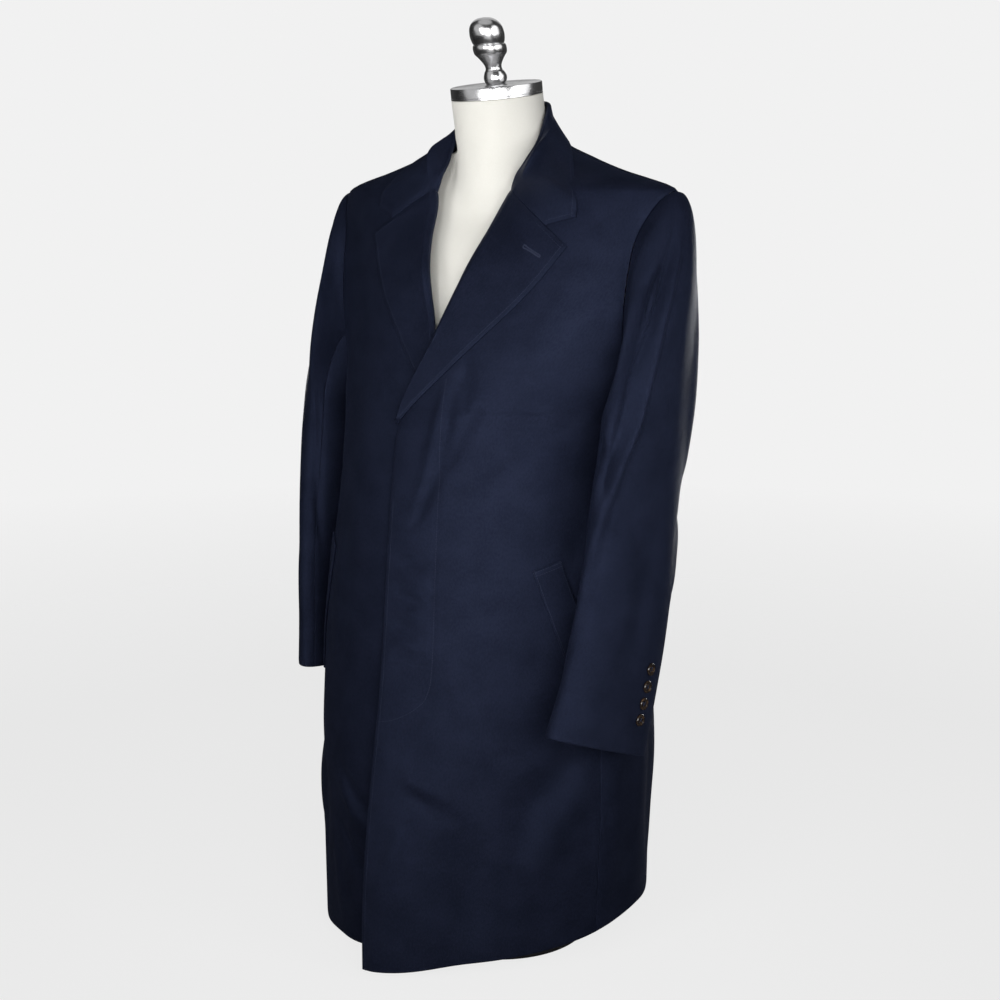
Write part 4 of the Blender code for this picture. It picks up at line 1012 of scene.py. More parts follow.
WOOL_DARK, WOOL_LIGHT = (0.0026, 0.0033, 0.0076), (0.0118, 0.0145, 0.0300)
navy_wool = wool_finish("navy_wool", WOOL_DARK, WOOL_LIGHT)


def thread_finish(name, colour):
    made, tree, shader = new_finish(name)
    twist = noise(tree, place_of(tree), 2400.0, 2.0)
    feed(tree, shader.inputs["Base Color"], blend_colours(
        tree, twist, (*[0.6 * c for c in colour], 1), (*[1.5 * c for c in colour], 1)))
    feed(tree, shader.inputs["Normal"], bump(tree, twist, 0.00008))
    shader.inputs["Roughness"].default_value = 0.55
    shader.inputs["Specular IOR Level"].default_value = 0.2
    return made


navy_thread = thread_finish("navy_thread", (0.025, 0.032, 0.064))


def horn_finish():
    made, tree, shader = new_finish("dark_horn")
    place = place_of(tree)
    clouds = noise(tree, stretched(tree, place, (1, 1, 2.2)), 150.0, 5.0, 0.62)
    ramp = tree.nodes.new("ShaderNodeValToRGB")
    ramp.color_ramp.elements[0].position, ramp.color_ramp.elements[1].position = 0.38, 0.66
    ramp.color_ramp.elements[0].color = (0.012, 0.009, 0.008, 1)
    ramp.color_ramp.elements[1].color = (0.085, 0.050, 0.028, 1)
    middle = ramp.color_ramp.elements.new(0.52)
    middle.color = (0.028, 0.018, 0.012, 1)
    feed(tree, ramp.inputs[0], clouds)
    feed(tree, shader.inputs["Base Color"], ramp.outputs[0])
    worn = put_group(tree, wear, Place=place, Size=700.0, Scratches=0.5)
    feed(tree, shader.inputs["Roughness"], span(tree, worn.outputs["Roughness"], 0, 1, 0.16, 0.34))
    feed(tree, shader.inputs["Normal"], bump(tree, worn.outputs["Height"], 0.00003))
    shader.inputs["Coat Weight"].default_value = 0.5
    shader.inputs["Coat Roughness"].default_value = 0.12
    return made


def linen_finish():
    made, tree, shader = new_finish("form_linen")
    place = place_of(tree)
    stains = noise(tree, place, 9.0, 4.0, 0.6)
    threads = noise(tree, stretched(tree, place, (1.0, 1.0, 0.3)), 1500.0, 3.0, 0.7)
    cross = noise(tree, stretched(tree, place, (0.3, 0.3, 1.0)), 1500.0, 3.0, 0.7)
    cloth = maths(tree, "ADD", threads, cross)
    fine = span(tree, cloth, 0.75, 1.25, 0.0, 1.0)
    plain = blend_colours(tree, stains, (0.765, 0.752, 0.692, 1), (0.83, 0.815, 0.768, 1))
    shaded = blend_colours(tree, maths(tree, "MULTIPLY", fine, 0.22), plain, (0.66, 0.64, 0.57, 1))
    feed(tree, shader.inputs["Base Color"], shaded)
    feed(tree, shader.inputs["Normal"], bump(tree, cloth, 0.00035, 0.5))
    shader.inputs["Roughness"].default_value = 0.82
    shader.inputs["Sheen Weight"].default_value = 0.15
    return made


def metal_finish(name, colour, low, high):
    made, tree, shader = new_finish(name)
    place = place_of(tree)
    worn = put_group(tree, wear, Place=place, Size=260.0, Scratches=0.6)
    dull = blend_colours(tree, worn.outputs["Roughness"], (*colour, 1), (*[0.80 * c for c in colour], 1))
    feed(tree, shader.inputs["Base Color"], dull)
    feed(tree, shader.inputs["Roughness"], span(tree, worn.outputs["Roughness"], 0, 1, low, high))
    feed(tree, shader.inputs["Normal"], bump(tree, worn.outputs["Height"], 0.00004, 0.4))
    shader.inputs["Metallic"].default_value = 1.0
    return made


def enamel_finish():
    made, tree, shader = new_finish("black_enamel")
    place = place_of(tree)
    worn = put_group(tree, wear, Place=place, Size=200.0, Scratches=0.3)
    feed(tree, shader.inputs["Base Color"], blend_colours(
        tree, worn.outputs["Roughness"], (0.010, 0.010, 0.011, 1), (0.022, 0.022, 0.024, 1)))
    feed(tree, shader.inputs["Roughness"], span(tree, worn.outputs["Roughness"], 0, 1, 0.28, 0.45))
    orange_peel = noise(tree, place, 420.0, 2.0)
    feed(tree, shader.inputs["Normal"], bump(tree, orange_peel, 0.00008, 0.5))
    shader.inputs["Coat Weight"].default_value = 0.3
    return made


dark_horn = horn_finish()
form_linen = linen_finish()
polished_metal = metal_finish("polished_metal", (0.80, 0.80, 0.81), 0.17, 0.32)
black_enamel = enamel_finish()
print("finishes:", [made.name for made in (navy_wool, navy_thread, dark_horn, form_linen,
                                           polished_metal, black_enamel)])

# %% [markdown]
# The fronts and backs share rows of points, packed closer where the armhole's curve is
# steep, so that their side seams and shoulder seams meet all the way.

# %% Rows for the body panels
ARM_MIDDLE, ARM_HALF = (SHOULDER + ARMPIT) / 2, (SHOULDER - ARMPIT) / 2
FIRST_STEP, STEP_GROWTH, PLAIN_STEP = 0.0009, 1.42, 0.0095
ROW_STEPS = [FIRST_STEP * sum(STEP_GROWTH ** k for k in range(n)) for n in range(8)]


def graded(low, high, packed_low, packed_high):
    """Levels from low to high, with rows packed towards the ends that ask for it."""
    start = [low + d for d in ROW_STEPS] if packed_low else [low]
    stop = [high - d for d in reversed(ROW_STEPS)] if packed_high else [high]
    count = max(2, round((stop[0] - start[-1]) / PLAIN_STEP))
    return start + list(np.linspace(start[-1], stop[0], count + 1)[1:-1]) + stop


def finer_levels(step):
    """Levels for the finished panels: close at the hem, even above it."""
    marks = [HEM + d for d in EDGE_STEPS]
    return np.array(marks + list(np.arange(marks[-1] + step, NECK - 0.003, step))
                    + [NECK - d for d in (0.0016, 0.0008, 0.0003, 0.0)])


BODY_ROWS = graded(HEM, ARMPIT, False, True) + graded(ARMPIT, SHOULDER, True, True)[1:]
BODY_ROWS += graded(SHOULDER, NECK, True, False)[1:]


def seam_swing(level, angle):
    """Half a seam's gap, as an angle of the section at this level."""
    step = plain_body(angle + 0.5, level) - plain_body(angle - 0.5, level)
    return 0.5 * SEAM / step.length


def armhole_calm(points, reach):
    """0 on the armhole's seam and 1 away from it, so that body and sleeve meet there."""
    ring = np.array([tuple(plain_body(*armhole_point(side, a)))
                     for side in (1, -1) for a in range(0, 360, 6)])
    flat = points.reshape(-1, 3)
    away = np.full(len(flat), 1e9)
    for mark in ring:
        away = np.minimum(away, ((flat - mark) ** 2).sum(axis=1))
    t = np.clip((np.sqrt(away) - 0.004) / reach, 0, 1).reshape(points.shape[:2])
    return t * t * (3 - 2 * t)


def body_sheet(name, rows, sign, kind, step, fine_columns, finish, flip):
    """A body panel: refined, lifted by its folds, and closed into a sheet."""
    coarse = grid_of(rows)
    wide = spread(coarse.shape[1] - 1, fine_columns, 0.012)
    fine = refine(coarse, finer_levels(step), wide, BODY_ROWS)
    normals = normals_of(fine, sign)
    lift = drape(fine, kind) * armhole_calm(fine, 0.026) - soft_edge(fine, 0.0040, 0.0005)
    fine = fine + lift[..., None] * normals
    normals = normals_of(fine, sign)
    rims = (1.0, 0.35, 0.35 if "back" in name else 1.0, 0.35)
    anchor = 1.0 if "back" in name else 0.0
    piece = cloth_piece(name, fine, normals, finish, flip=flip, rims=rims, anchor=anchor)
    return piece, fine, normals


# %% The two fronts
FRONT_CELLS = 26
FRONT_ROW, FRONT_COLUMNS = 0.0040, 108      # row height and columns of a finished front


def squeezed(start, full, stop, share, power):
    """Angles from start towards full, squeezed into stop mostly at their outer end."""
    return start + (full - start) * share - (full - stop) * share ** power


panels = {}


def front_rows(side):
    rows = []
    for level in BODY_ROWS:
        edge = roll_line(side, level)
        edge += (roll_radius(level) + LAPEL_GAP) * ease(level, BREAK - 0.012, BREAK)
        start = side * angle_at(side * edge, level)
        seam = armhole_angle(level, False)
        stop = seam - seam_swing(level, seam)
        rows.append([front(side, squeezed(start, 90.0, stop, k / FRONT_CELLS, 2.2), level)
                     for k in range(FRONT_CELLS + 1)])
    return rows


for side, name in ((1, "left_front"), (-1, "right_front")):
    half = (name, name.replace("front", "back"))
    piece, fine, normals = body_sheet(name + "_cloth", front_rows(side), side, half,
                                      FRONT_ROW, FRONT_COLUMNS, navy_wool, side < 0)
    panels[name] = (fine, normals)
    seat(piece, name)
    print(name, "points:", len(piece.data.vertices))

# %% The two backs
BACK_CELLS = 22
BACK_ROW, BACK_COLUMNS = 0.0046, 78


def back_rows(side):
    rows = []
    for level in BODY_ROWS:
        seam = armhole_angle(level, True)
        start = seam + seam_swing(level, seam)
        stop = 180.0 - seam_swing(level, 180.0)
        rows.append([body(side * squeezed(stop, 90.0, start, 1 - k / BACK_CELLS, 2.0), level)
                     for k in range(BACK_CELLS + 1)])
    return rows


for side, name in ((1, "left_back"), (-1, "right_back")):
    half = (name, name.replace("back", "front"))
    piece, fine, normals = body_sheet(name + "_cloth", back_rows(side), side, half,
                                      BACK_ROW, BACK_COLUMNS, navy_wool, side < 0)
    panels[name] = (fine, normals)
    seat(piece, name)

# %% [markdown]
# Each sleeve has a broad top piece and a narrow under piece, joined by two seams that run
# from the armhole to the cuff. Both are patches of one tube.

# %% The sleeves
HEAD_LENGTH, TUBE_LENGTH = 0.10, 0.31       # rough lengths, to spread the sleeve's rows
SLEEVE_FINE_ROWS = 168
SLEEVE_ROWS = [k / 26 for k in range(26)] + [1.0 + k / 34 for k in range(35)]
SLEEVE_MARKS = [HEAD_LENGTH * min(a, 1.0) + TUBE_LENGTH * max(0.0, a - 1.0)
                for a in SLEEVE_ROWS]
SEAM_START = math.degrees(math.asin((SLEEVE_SEAM - ARM_MIDDLE) / ARM_HALF))


def sleeve_rows(side, low, high, cells):
    rows = []
    for along in SLEEVE_ROWS:
        line = [low + (high - low) * k / cells for k in range(cells + 1)]
        step = (sleeve_point(side, low + 1, along) - sleeve_point(side, low, along)).length
        line[0] += 0.9 * SEAM / step
        line[-1] -= 0.9 * SEAM / step
        rows.append([sleeve_point(side, a, along) for a in line])
    return rows


for side, word in ((1, "left"), (-1, "right")):
    for part, low, high, cells, wide in (
            ("top_sleeve", SEAM_START, 180 - SEAM_START, 36, 98),
            ("under_sleeve", 180 - SEAM_START, 360 + SEAM_START, 22, 58)):
        name = word + "_" + part
        coarse = grid_of(sleeve_rows(side, low, high, cells))
        tall = np.array(list(EDGE_STEPS) + list(np.linspace(0.0075, 0.4025, SLEEVE_FINE_ROWS))
                        + [SLEEVE_MARKS[-1] - d for d in reversed(EDGE_STEPS)])
        fine = refine(coarse, tall, spread(cells, wide, 0.009), SLEEVE_MARKS)
        normals = normals_of(fine, -side)
        lift = drape(fine, (word + "_sleeve",)) - soft_edge(fine, 0.0035, 0.0005)
        fine = fine + (lift * armhole_calm(fine, 0.013))[..., None] * normals
        normals = normals_of(fine, -side)
        piece = cloth_piece(name + "_cloth", fine, normals, navy_wool, flip=side > 0,
                            rims=(0.35, 1.0, 0.35, 0.35))
        panels[name] = (fine, normals)
        seat(piece, name)
print("sleeve points:", len(piece.data.vertices))

# %% [markdown]
# The lapel is turned back: its rows start with half a turn round the roll line, then lie on
# the chest. Its top row follows the gorge seam to the notch, then to the lapel's tip.

# %% The lapels
LAPEL_CELLS = 20


def lapel_row(side, share):
    tip = moved(side, Edge(LAPEL[-1].level, LAPEL[-1].x), RIGHT_TIP_IN)
    foot, head = BREAK + 0.003, GORGE.level - 0.0005
    level = foot + (head - foot) * share
    roll = roll_line(side, level)
    row = [turned_edge(side, roll, level, roll_radius(level), k) for k in range(ROLL_STEPS + 1)]
    edge = foot + 0.002 + (tip.level - foot - 0.002) * share ** 0.85
    gorge = min(1.0, max(0.0, share * 10 - 9))
    for k in range(1, LAPEL_CELLS + 1):
        q = k / LAPEL_CELLS
        start = roll + roll_radius(level)
        far = read(LAPEL, "x", edge) - (RIGHT_TIP_IN * ease(edge, 0.78, 0.892) if side < 0 else 0)
        x = start + (far - start) * q
        up = level + (edge - level) * q + (LAPEL_RAISE * q * share if side < 0 else 0.0)
        top_x, top_up = gorge_line(side, q, tip)
        x, up = x + (top_x - x) * gorge, up + (top_up - 0.0005 - up) * gorge
        row.append(over_chest(side, x, up, q))
    return row


def turned_sheet(name, rows, sign, tall, wide, flip, rims):
    """A sheet that starts with a half turn: folds push it the way its flat part faces."""
    coarse = grid_of(rows)
    fine = refine(coarse, tall, wide)
    normals = normals_of(fine, sign)
    out = normals[:, -12:].mean(axis=1, keepdims=True)
    fine = fine + unevenness(fine.reshape(-1, 3)).reshape(fine.shape[:2])[..., None] * out
    fine = fine - soft_edge(fine, 0.0045, 0.0009)[..., None] * normals
    piece = cloth_piece(name, fine, normals, navy_wool, flip=flip, rims=rims)
    return piece, fine, normals


for side, name in ((1, "left_lapel"), (-1, "right_lapel")):
    rows = [lapel_row(side, r / 60) for r in range(61)]
    wide = list(np.linspace(0, ROLL_STEPS, 13)[:-1]) + list(np.linspace(ROLL_STEPS, ROLL_STEPS
                                                                        + LAPEL_CELLS, 52)[:-3])
    wide += [ROLL_STEPS + LAPEL_CELLS - d for d in (0.6, 0.32, 0.16, 0.07, 0.0)]
    tall = list(np.linspace(0, 60, 150)[:-2]) + [59.72, 59.87, 59.95, 60.0]
    piece, fine, normals = turned_sheet(name + "_cloth", rows, side, np.array(tall),
                                        np.array(wide), side < 0, (1, 0.35, 1, 1))
    panels[name] = (fine, normals)
    seat(piece, name)
print("lapel columns:", len(wide))

# %% [markdown]
# The collar's fall is one piece round the neck. The stand is the narrow piece inside it
# that holds the fold up off the neck seam.

# %% The collar
def smoothed(rows, passes=4):
    """The fall hangs evenly: average its rows along the neck, more so towards its edge."""
    grid = grid_of(rows)
    share = np.clip((np.arange(grid.shape[1]) - ROLL_STEPS) / 4, 0, 1)[None, :, None]
    for _ in range(passes):
        evened = 0.25 * grid[:-2] + 0.5 * grid[1:-1] + 0.25 * grid[2:]
        grid[2:-2] += share * (evened[1:-1] - grid[2:-2])
    return grid


HALF = 13
places = [k / HALF for k in range(HALF + 1)]
shares = [(-1, share) for share in reversed(places[1:])] + [(1, share) for share in places]
rows = smoothed([fall_row(side, share) for side, share in shares])
cells = ROLL_STEPS + FALL_COLUMNS
wide = list(np.linspace(0, ROLL_STEPS, 13)[:-1]) + list(np.linspace(ROLL_STEPS, cells, 62)[:-3])
wide += [cells - d for d in (0.9, 0.5, 0.25, 0.1, 0.0)]
last = len(rows) - 1
tall = [0.0, 0.02, 0.06, 0.14] + list(np.linspace(0, last, 210)[2:-2]) + [
    last - 0.14, last - 0.06, last - 0.02, last]
piece, fine, normals = turned_sheet("collar_fall_cloth", rows, -1, np.array(tall),
                                    np.array(wide), True, (0.5, 0.5, 1, 1))
panels["collar_fall"] = (fine, normals)
seat(piece, "collar_fall")

rows = []
for side, share in shares:
    if share > STAND_END:
        continue
    foot, fall = stand_foot(side, share), fall_row(side, share)
    sag = (fall[0] - fall[ROLL_STEPS]).normalized() * STAND_SAG
    crown = (fall[ROLL_STEPS // 2] - (fall[0] + fall[ROLL_STEPS]) / 2).normalized()
    head = fall[0] - crown * (0.0006 + 0.0022 * ease(share, 0.3, 0.6))
    rows.append([head.lerp(foot, t) + sag * 4 * t * (1 - t)
                 for t in (0.0, 0.12, 0.25, 0.42, 0.6, 0.8, 1.0)])
coarse = grid_of(rows)
fine = refine(coarse, np.linspace(0, len(rows) - 1, 170), spread(6, 16, 0.006))
piece = cloth_piece("collar_stand_cloth", fine, normals_of(fine, 1), navy_wool,
                    thickness=STAND_THICK)
seat(piece, "collar_stand")
print("collar rows:", len(shares), "stand rows:", len(rows))

# %% [markdown]
# A welt pocket shows as one narrow strip of cloth. It lies on the front, so it takes the
# same folds as the cloth under it.

# %% The pocket welts
def welt_rows(side):
    rows = []
    for r in range(25):
        t = r / 24
        mixed = Welt(*[a + (b - a) * t for a, b in zip(WELT_LOW, WELT_TOP)])
        rows.append([front(side,
                           mixed.front_angle + (mixed.back_angle - mixed.front_angle) * q / 8,
                           mixed.front_level + (mixed.back_level - mixed.front_level) * q / 8,
                           CLOTH + SEAM + 0.0003) for q in range(9)])
    return rows


for side, word in ((1, "left"), (-1, "right")):
    name = word + "_pocket_welt"
    coarse = grid_of(welt_rows(side))
    fine = refine(coarse, spread(24, 96, 0.0075), spread(8, 26, 0.0045))
    normals = normals_of(fine, side)
    lift = drape(fine, (word + "_front",)) - soft_edge(fine, 0.0030, 0.0003)
    fine = fine + lift[..., None] * normals
    piece = cloth_piece(name + "_cloth", fine, normals, navy_wool, flip=side < 0, turn_weave=18)
    panels[name] = (fine, normals)
    seat(piece, name)

# %% [markdown]
# Topstitching is one small stitch repeated along a path, which is work for Geometry Nodes:
# the path becomes a curve, is cut into equal steps, and each step gets a stitch that points
# along the path and lies flat on the cloth. The pitch, length and width are named inputs.

# %% A tree of stitches
def stitch_tree():
    tree = bpy.data.node_groups.new("stitch_row", "GeometryNodeTree")
    new = tree.interface.new_socket
    new(name="Geometry", in_out="INPUT", socket_type="NodeSocketGeometry")
    for label, value in (("Pitch", 0.0030), ("Length", 0.0022), ("Width", 0.0006), ("Turn", 0.0)):
        new(name=label, in_out="INPUT", socket_type="NodeSocketFloat").default_value = value
    new(name="Thread", in_out="INPUT", socket_type="NodeSocketMaterial")
    new(name="Geometry", in_out="OUTPUT", socket_type="NodeSocketGeometry")
    take, give = tree.nodes.new("NodeGroupInput"), tree.nodes.new("NodeGroupOutput")
    take_out = {socket.name: socket for socket in take.outputs}
    link = tree.links.new
    path = tree.nodes.new("GeometryNodeMeshToCurve")
    cut = tree.nodes.new("GeometryNodeResampleCurve")
    cut.mode = "LENGTH"
    up = tree.nodes.new("GeometryNodeInputNamedAttribute")
    up.data_type = "FLOAT_VECTOR"
    up.inputs["Name"].default_value = "up"
    tangent = tree.nodes.new("GeometryNodeInputTangent")
    along = tree.nodes.new("FunctionNodeAlignRotationToVector")
    along.axis = "X"
    upright = tree.nodes.new("FunctionNodeAlignRotationToVector")
    upright.axis, upright.pivot_axis = "Z", "X"
    stitch = tree.nodes.new("GeometryNodeMeshIcoSphere")
    stitch.inputs["Radius"].default_value, stitch.inputs["Subdivisions"].default_value = 0.5, 2
    size = tree.nodes.new("ShaderNodeCombineXYZ")
    swing = tree.nodes.new("ShaderNodeCombineXYZ")
    shaped = tree.nodes.new("GeometryNodeTransform")
    each = tree.nodes.new("GeometryNodeInstanceOnPoints")
    real = tree.nodes.new("GeometryNodeRealizeInstances")
    dyed = tree.nodes.new("GeometryNodeSetMaterial")
    link(take_out["Geometry"], path.inputs["Mesh"])
    link(path.outputs["Curve"], cut.inputs["Curve"])
    link(take_out["Pitch"], cut.inputs["Length"])
    link(tangent.outputs[0], along.inputs["Vector"])
    link(along.outputs[0], upright.inputs["Rotation"])
    link(up.outputs["Attribute"], upright.inputs["Vector"])
    link(take_out["Length"], size.inputs[0])
    link(take_out["Width"], size.inputs[1])
    link(take_out["Width"], size.inputs[2])
    link(take_out["Turn"], swing.inputs[2])
    link(stitch.outputs["Mesh"], shaped.inputs["Geometry"])
    link(size.outputs[0], shaped.inputs["Scale"])
    link(swing.outputs[0], shaped.inputs["Rotation"])
    link(cut.outputs["Curve"], each.inputs["Points"])
    link(shaped.outputs["Geometry"], each.inputs["Instance"])
    link(upright.outputs[0], each.inputs["Rotation"])
    link(each.outputs["Instances"], real.inputs["Geometry"])
    link(real.outputs["Geometry"], dyed.inputs["Geometry"])
    link(take_out["Thread"], dyed.inputs["Material"])
    link(dyed.outputs["Geometry"], give.inputs["Geometry"])
    return tree


stitches = stitch_tree()


def sew(name, paths, thread, pitch=0.0030, length=0.0023, width=0.00055, turn=0.0):
    """Stitches along paths of (point, up) pairs, made a plain mesh that rides on the body."""
    points, ups, edges = [], [], []
    for path in paths:
        edges += [(len(points) + k, len(points) + k + 1) for k in range(len(path) - 1)]
        points += [p for p, _ in path]
        ups += [u for _, u in path]
    mesh = bpy.data.meshes.new(name + "_path")
    mesh.from_pydata([tuple(p) for p in points], edges, [])
    mesh.attributes.new("up", "FLOAT_VECTOR", "POINT").data.foreach_set(
        "vector", np.array(ups, dtype=np.float32).reshape(-1))
    guide = bpy.data.objects.new(name, mesh)
    bpy.context.scene.collection.objects.link(guide)
    work = guide.modifiers.new("stitches", "NODES")
    work.node_group = stitches
    names = {item.name: item.identifier for item in stitches.interface.items_tree
             if item.in_out == "INPUT"}
    for label, value in (("Pitch", pitch), ("Length", length), ("Width", width), ("Turn", turn),
                         ("Thread", thread)):
        work[names[label]] = value
    made = bpy.data.meshes.new_from_object(guide.evaluated_get(
        bpy.context.evaluated_depsgraph_get()))
    guide.modifiers.remove(work)
    guide.data = made
    made.name = name
    made.shade_smooth()
    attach(guide, "root")
    return guide


def pick(panel, down, across):
    """A point and its normal at a fractional row and column of a panel."""
    r = min(int(down), len(panel[0]) - 2)
    c = min(int(across), panel[0].shape[1] - 2)
    s, t = down - r, across - c
    return tuple((grid[r, c] * (1 - s) + grid[r + 1, c] * s) * (1 - t)
                 + (grid[r, c + 1] * (1 - s) + grid[r + 1, c + 1] * s) * t for grid in panel)


def beside_edge(panel, edge, inset, start, stop):
    """A path inset from one edge of a panel, between two shares of that edge."""
    grid = panel[0]
    rows, columns = grid.shape[:2]
    path = []
    over, down = steps(grid, 1), steps(grid, 0)
    if edge in ("last_column", "first_column"):
        for r in range(int(start * (rows - 1)), int(stop * (rows - 1)) + 1):
            far = over[r, -1] - inset if edge == "last_column" else inset
            path.append(pick(panel, r, float(np.interp(far, over[r], np.arange(columns)))))
        return path
    for c in range(int(start * (columns - 1)), int(stop * (columns - 1)) + 1):
        far = down[-1, c] - inset if edge == "last_row" else inset
        path.append(pick(panel, float(np.interp(far, down[:, c], np.arange(rows))), c))
    return path


def nearest(panel, point):
    grid = panel[0]
    away = ((grid - np.array(tuple(point))) ** 2).sum(axis=2)
    r, c = np.unravel_index(away.argmin(), away.shape)
    return grid[r, c], panel[1][r, c]


def over_cloth(panel, marks, count):
    """A smooth path through (angle, level) marks, lying on a front panel."""
    places = np.array([(angle, level, 0.0) for angle, level in marks])[:, None, :]
    way = along_axis(places, np.linspace(0, len(marks) - 1, count))[:, 0, :]
    grid, normals = panel
    path = []
    for angle, level, _ in way:
        point = np.array(tuple(front(1, angle, level)))
        away = ((grid - point) ** 2).sum(axis=2)
        r, c = np.unravel_index(away.argmin(), away.shape)
        lift = (grid[r, c] - point) @ normals[r, c]
        path.append((point + lift * normals[r, c], normals[r, c]))
    return path


# %% Where the coat is stitched
EDGE_STITCH = 0.0055
FLY_LINE = [(8, 0.738), (9.5, 0.68), (11, 0.60), (11.3, 0.51), (11.3, 0.40), (9.8, 0.366),
            (7, 0.352), (3, 0.341), (-2, 0.332), (-7.5, 0.327)]
WELT_STITCH, WELT_SECOND, WELT_END = 0.0025, 0.0070, 0.0022
left = panels["left_front"]
for name in ("left_lapel", "right_lapel"):
    sew(name + "_stitches", [beside_edge(panels[name], "last_column", EDGE_STITCH, 0.03, 0.965),
                             beside_edge(panels[name], "last_row", EDGE_STITCH, 0.62, 0.93)],
        navy_thread)
collar = panels["collar_fall"]
sew("collar_stitches", [beside_edge(collar, "last_column", EDGE_STITCH, 0.012, 0.988),
                        beside_edge(collar, "first_row", EDGE_STITCH, 0.66, 0.94),
                        beside_edge(collar, "last_row", EDGE_STITCH, 0.66, 0.94)], navy_thread)
sew("front_edge_stitches", [beside_edge(left, "first_column", EDGE_STITCH, 0.01, 0.58)],
    navy_thread)
sew("fly_stitches", [over_cloth(left, FLY_LINE, 160)], navy_thread)
for word in ("left", "right"):
    welt = panels[word + "_pocket_welt"]
    sew(word + "_welt_stitches", [beside_edge(welt, "last_row", WELT_STITCH, 0.06, 0.94),
                                  beside_edge(welt, "last_row", WELT_SECOND, 0.06, 0.94),
                                  beside_edge(welt, "first_column", WELT_END, 0.02, 0.98),
                                  beside_edge(welt, "last_column", WELT_END, 0.02, 0.98)],
        navy_thread)

# %% [markdown]
# The lapel's buttonhole is a slit bound with close stitches across it, thicker than the
# topstitching, with a round eye at its outer end.

# %% The buttonhole
HOLE_MARKS = [(22.6, 0.8915), (24.6, 0.8875), (26.6, 0.8835), (28.2, 0.8800)]
HOLE_STEPS, HOLE_HALF = 14, 0.0011
EYE_HALF, EYE_PLACE, EYE_REACH = 0.0009, 0.06, 0.14
lapel = panels["left_lapel"]


def bound_slit():
    """The path of the stitches round the slit, with a wider eye near its outer end."""
    marks = [np.array(tuple(front(1, a, v))) for a, v in HOLE_MARKS]
    _, out = nearest(lapel, marks[1])
    along = marks[-1] - marks[0]
    length = np.linalg.norm(along)
    along /= length
    sideways = np.cross(out, along)
    upper, lower = [], []
    for k in range(HOLE_STEPS + 1):
        t = k / HOLE_STEPS
        line = marks[0] + along * length * t
        near, up = nearest(lapel, line)
        flat = line + up * ((near - line) @ up)
        half = HOLE_HALF + EYE_HALF * max(0.0, 1 - abs(t - EYE_PLACE) / EYE_REACH)
        upper.append((flat + sideways * half, up))
        lower.append((flat - sideways * half, up))
    return upper + lower[::-1] + upper[:1]


sew("lapel_buttonhole", [bound_slit()], navy_thread, pitch=0.00062, length=0.0021,
    width=0.00058, turn=math.pi / 2)

# %% [markdown]
# A cuff button is turned like a small plate: a raised rim, a dished face, and four holes
# that the thread crosses. One is cut with a boolean, and the others are copies set in place.

# %% A horn button
SIDES = 64
HOLE_OUT, HOLE_RADIUS = 0.0021, 0.00085     # how far out a button's holes lie, and their size


def turned(name, profile, sides, seat_point, axis, finish, lean=Vector()):
    """A solid turned from (radius, height) pairs about an axis through its seat; above its
    foot it can lean, by so much for each metre."""
    axis = axis.normalized()
    flat = axis.orthogonal().normalized()
    third = axis.cross(flat)
    points, faces, rings = [], [], []
    for radius, height in profile:
        middle = seat_point + axis * height + lean * max(0.0, height - FINIAL_FOOT)
        if radius < 1e-6:
            rings.append([len(points)])
            points.append(middle)
            continue
        rings.append(list(range(len(points), len(points) + sides)))
        for k in range(sides):
            swing = 2 * math.pi * k / sides
            points.append(middle + (flat * math.cos(swing) + third * math.sin(swing)) * radius)
    for low, high in zip(rings, rings[1:]):
        for k in range(sides):
            ring_of = (low[k % len(low)], low[(k + 1) % len(low)],
                       high[(k + 1) % len(high)], high[k % len(high)])
            faces.append(tuple(dict.fromkeys(ring_of)))
    mesh = bpy.data.meshes.new(name)
    mesh.from_pydata([tuple(p) for p in points], [], faces)
    mesh.materials.append(finish)
    mesh.shade_smooth()
    made = bpy.data.objects.new(name, mesh)
    bpy.context.scene.collection.objects.link(made)
    return made


def smooth_profile(marks, count):
    """A smooth line through (radius, height) marks."""
    line = np.array([(r, h, 0.0) for r, h in marks])[:, None, :]
    way = along_axis(line, np.linspace(0, len(marks) - 1, count))[:, 0, :]
    return [(max(0.0, r), h) for r, h, _ in way]


def button_mesh():
    marks = [(0.0, 0.0), (0.70, 0.0), (0.90, 0.12), (1.0, 0.45), (0.985, 0.80), (0.90, 1.0),
             (0.78, 0.92), (0.68, 0.70), (0.50, 0.58), (0.25, 0.55), (0.0, 0.55)]
    shape = [(r * BUTTON_RADIUS, z * BUTTON_THICK) for r, z in marks]
    blank = turned("button_blank", shape, SIDES, Vector(), Vector((0, 0, 1)), dark_horn)
    for k in range(4):
        swing = math.radians(45 + 90 * k)
        at = Vector((math.cos(swing), math.sin(swing), 0)) * HOLE_OUT
        drill = turned("drill", [(0, -0.001), (HOLE_RADIUS, -0.001), (HOLE_RADIUS, 0.004),
                                 (0, 0.004)], 16, at, Vector((0, 0, 1)), dark_horn)
        cut = blank.modifiers.new("hole", "BOOLEAN")
        cut.object, cut.operation, cut.solver = drill, "DIFFERENCE", "EXACT"
    made = bpy.data.meshes.new_from_object(
        blank.evaluated_get(bpy.context.evaluated_depsgraph_get()))
    made.set_sharp_from_angle(angle=math.radians(50))
    for thing in [o for o in bpy.data.objects if o.name.startswith(("button_blank", "drill"))]:
        bpy.data.objects.remove(thing, do_unlink=True)
    return made


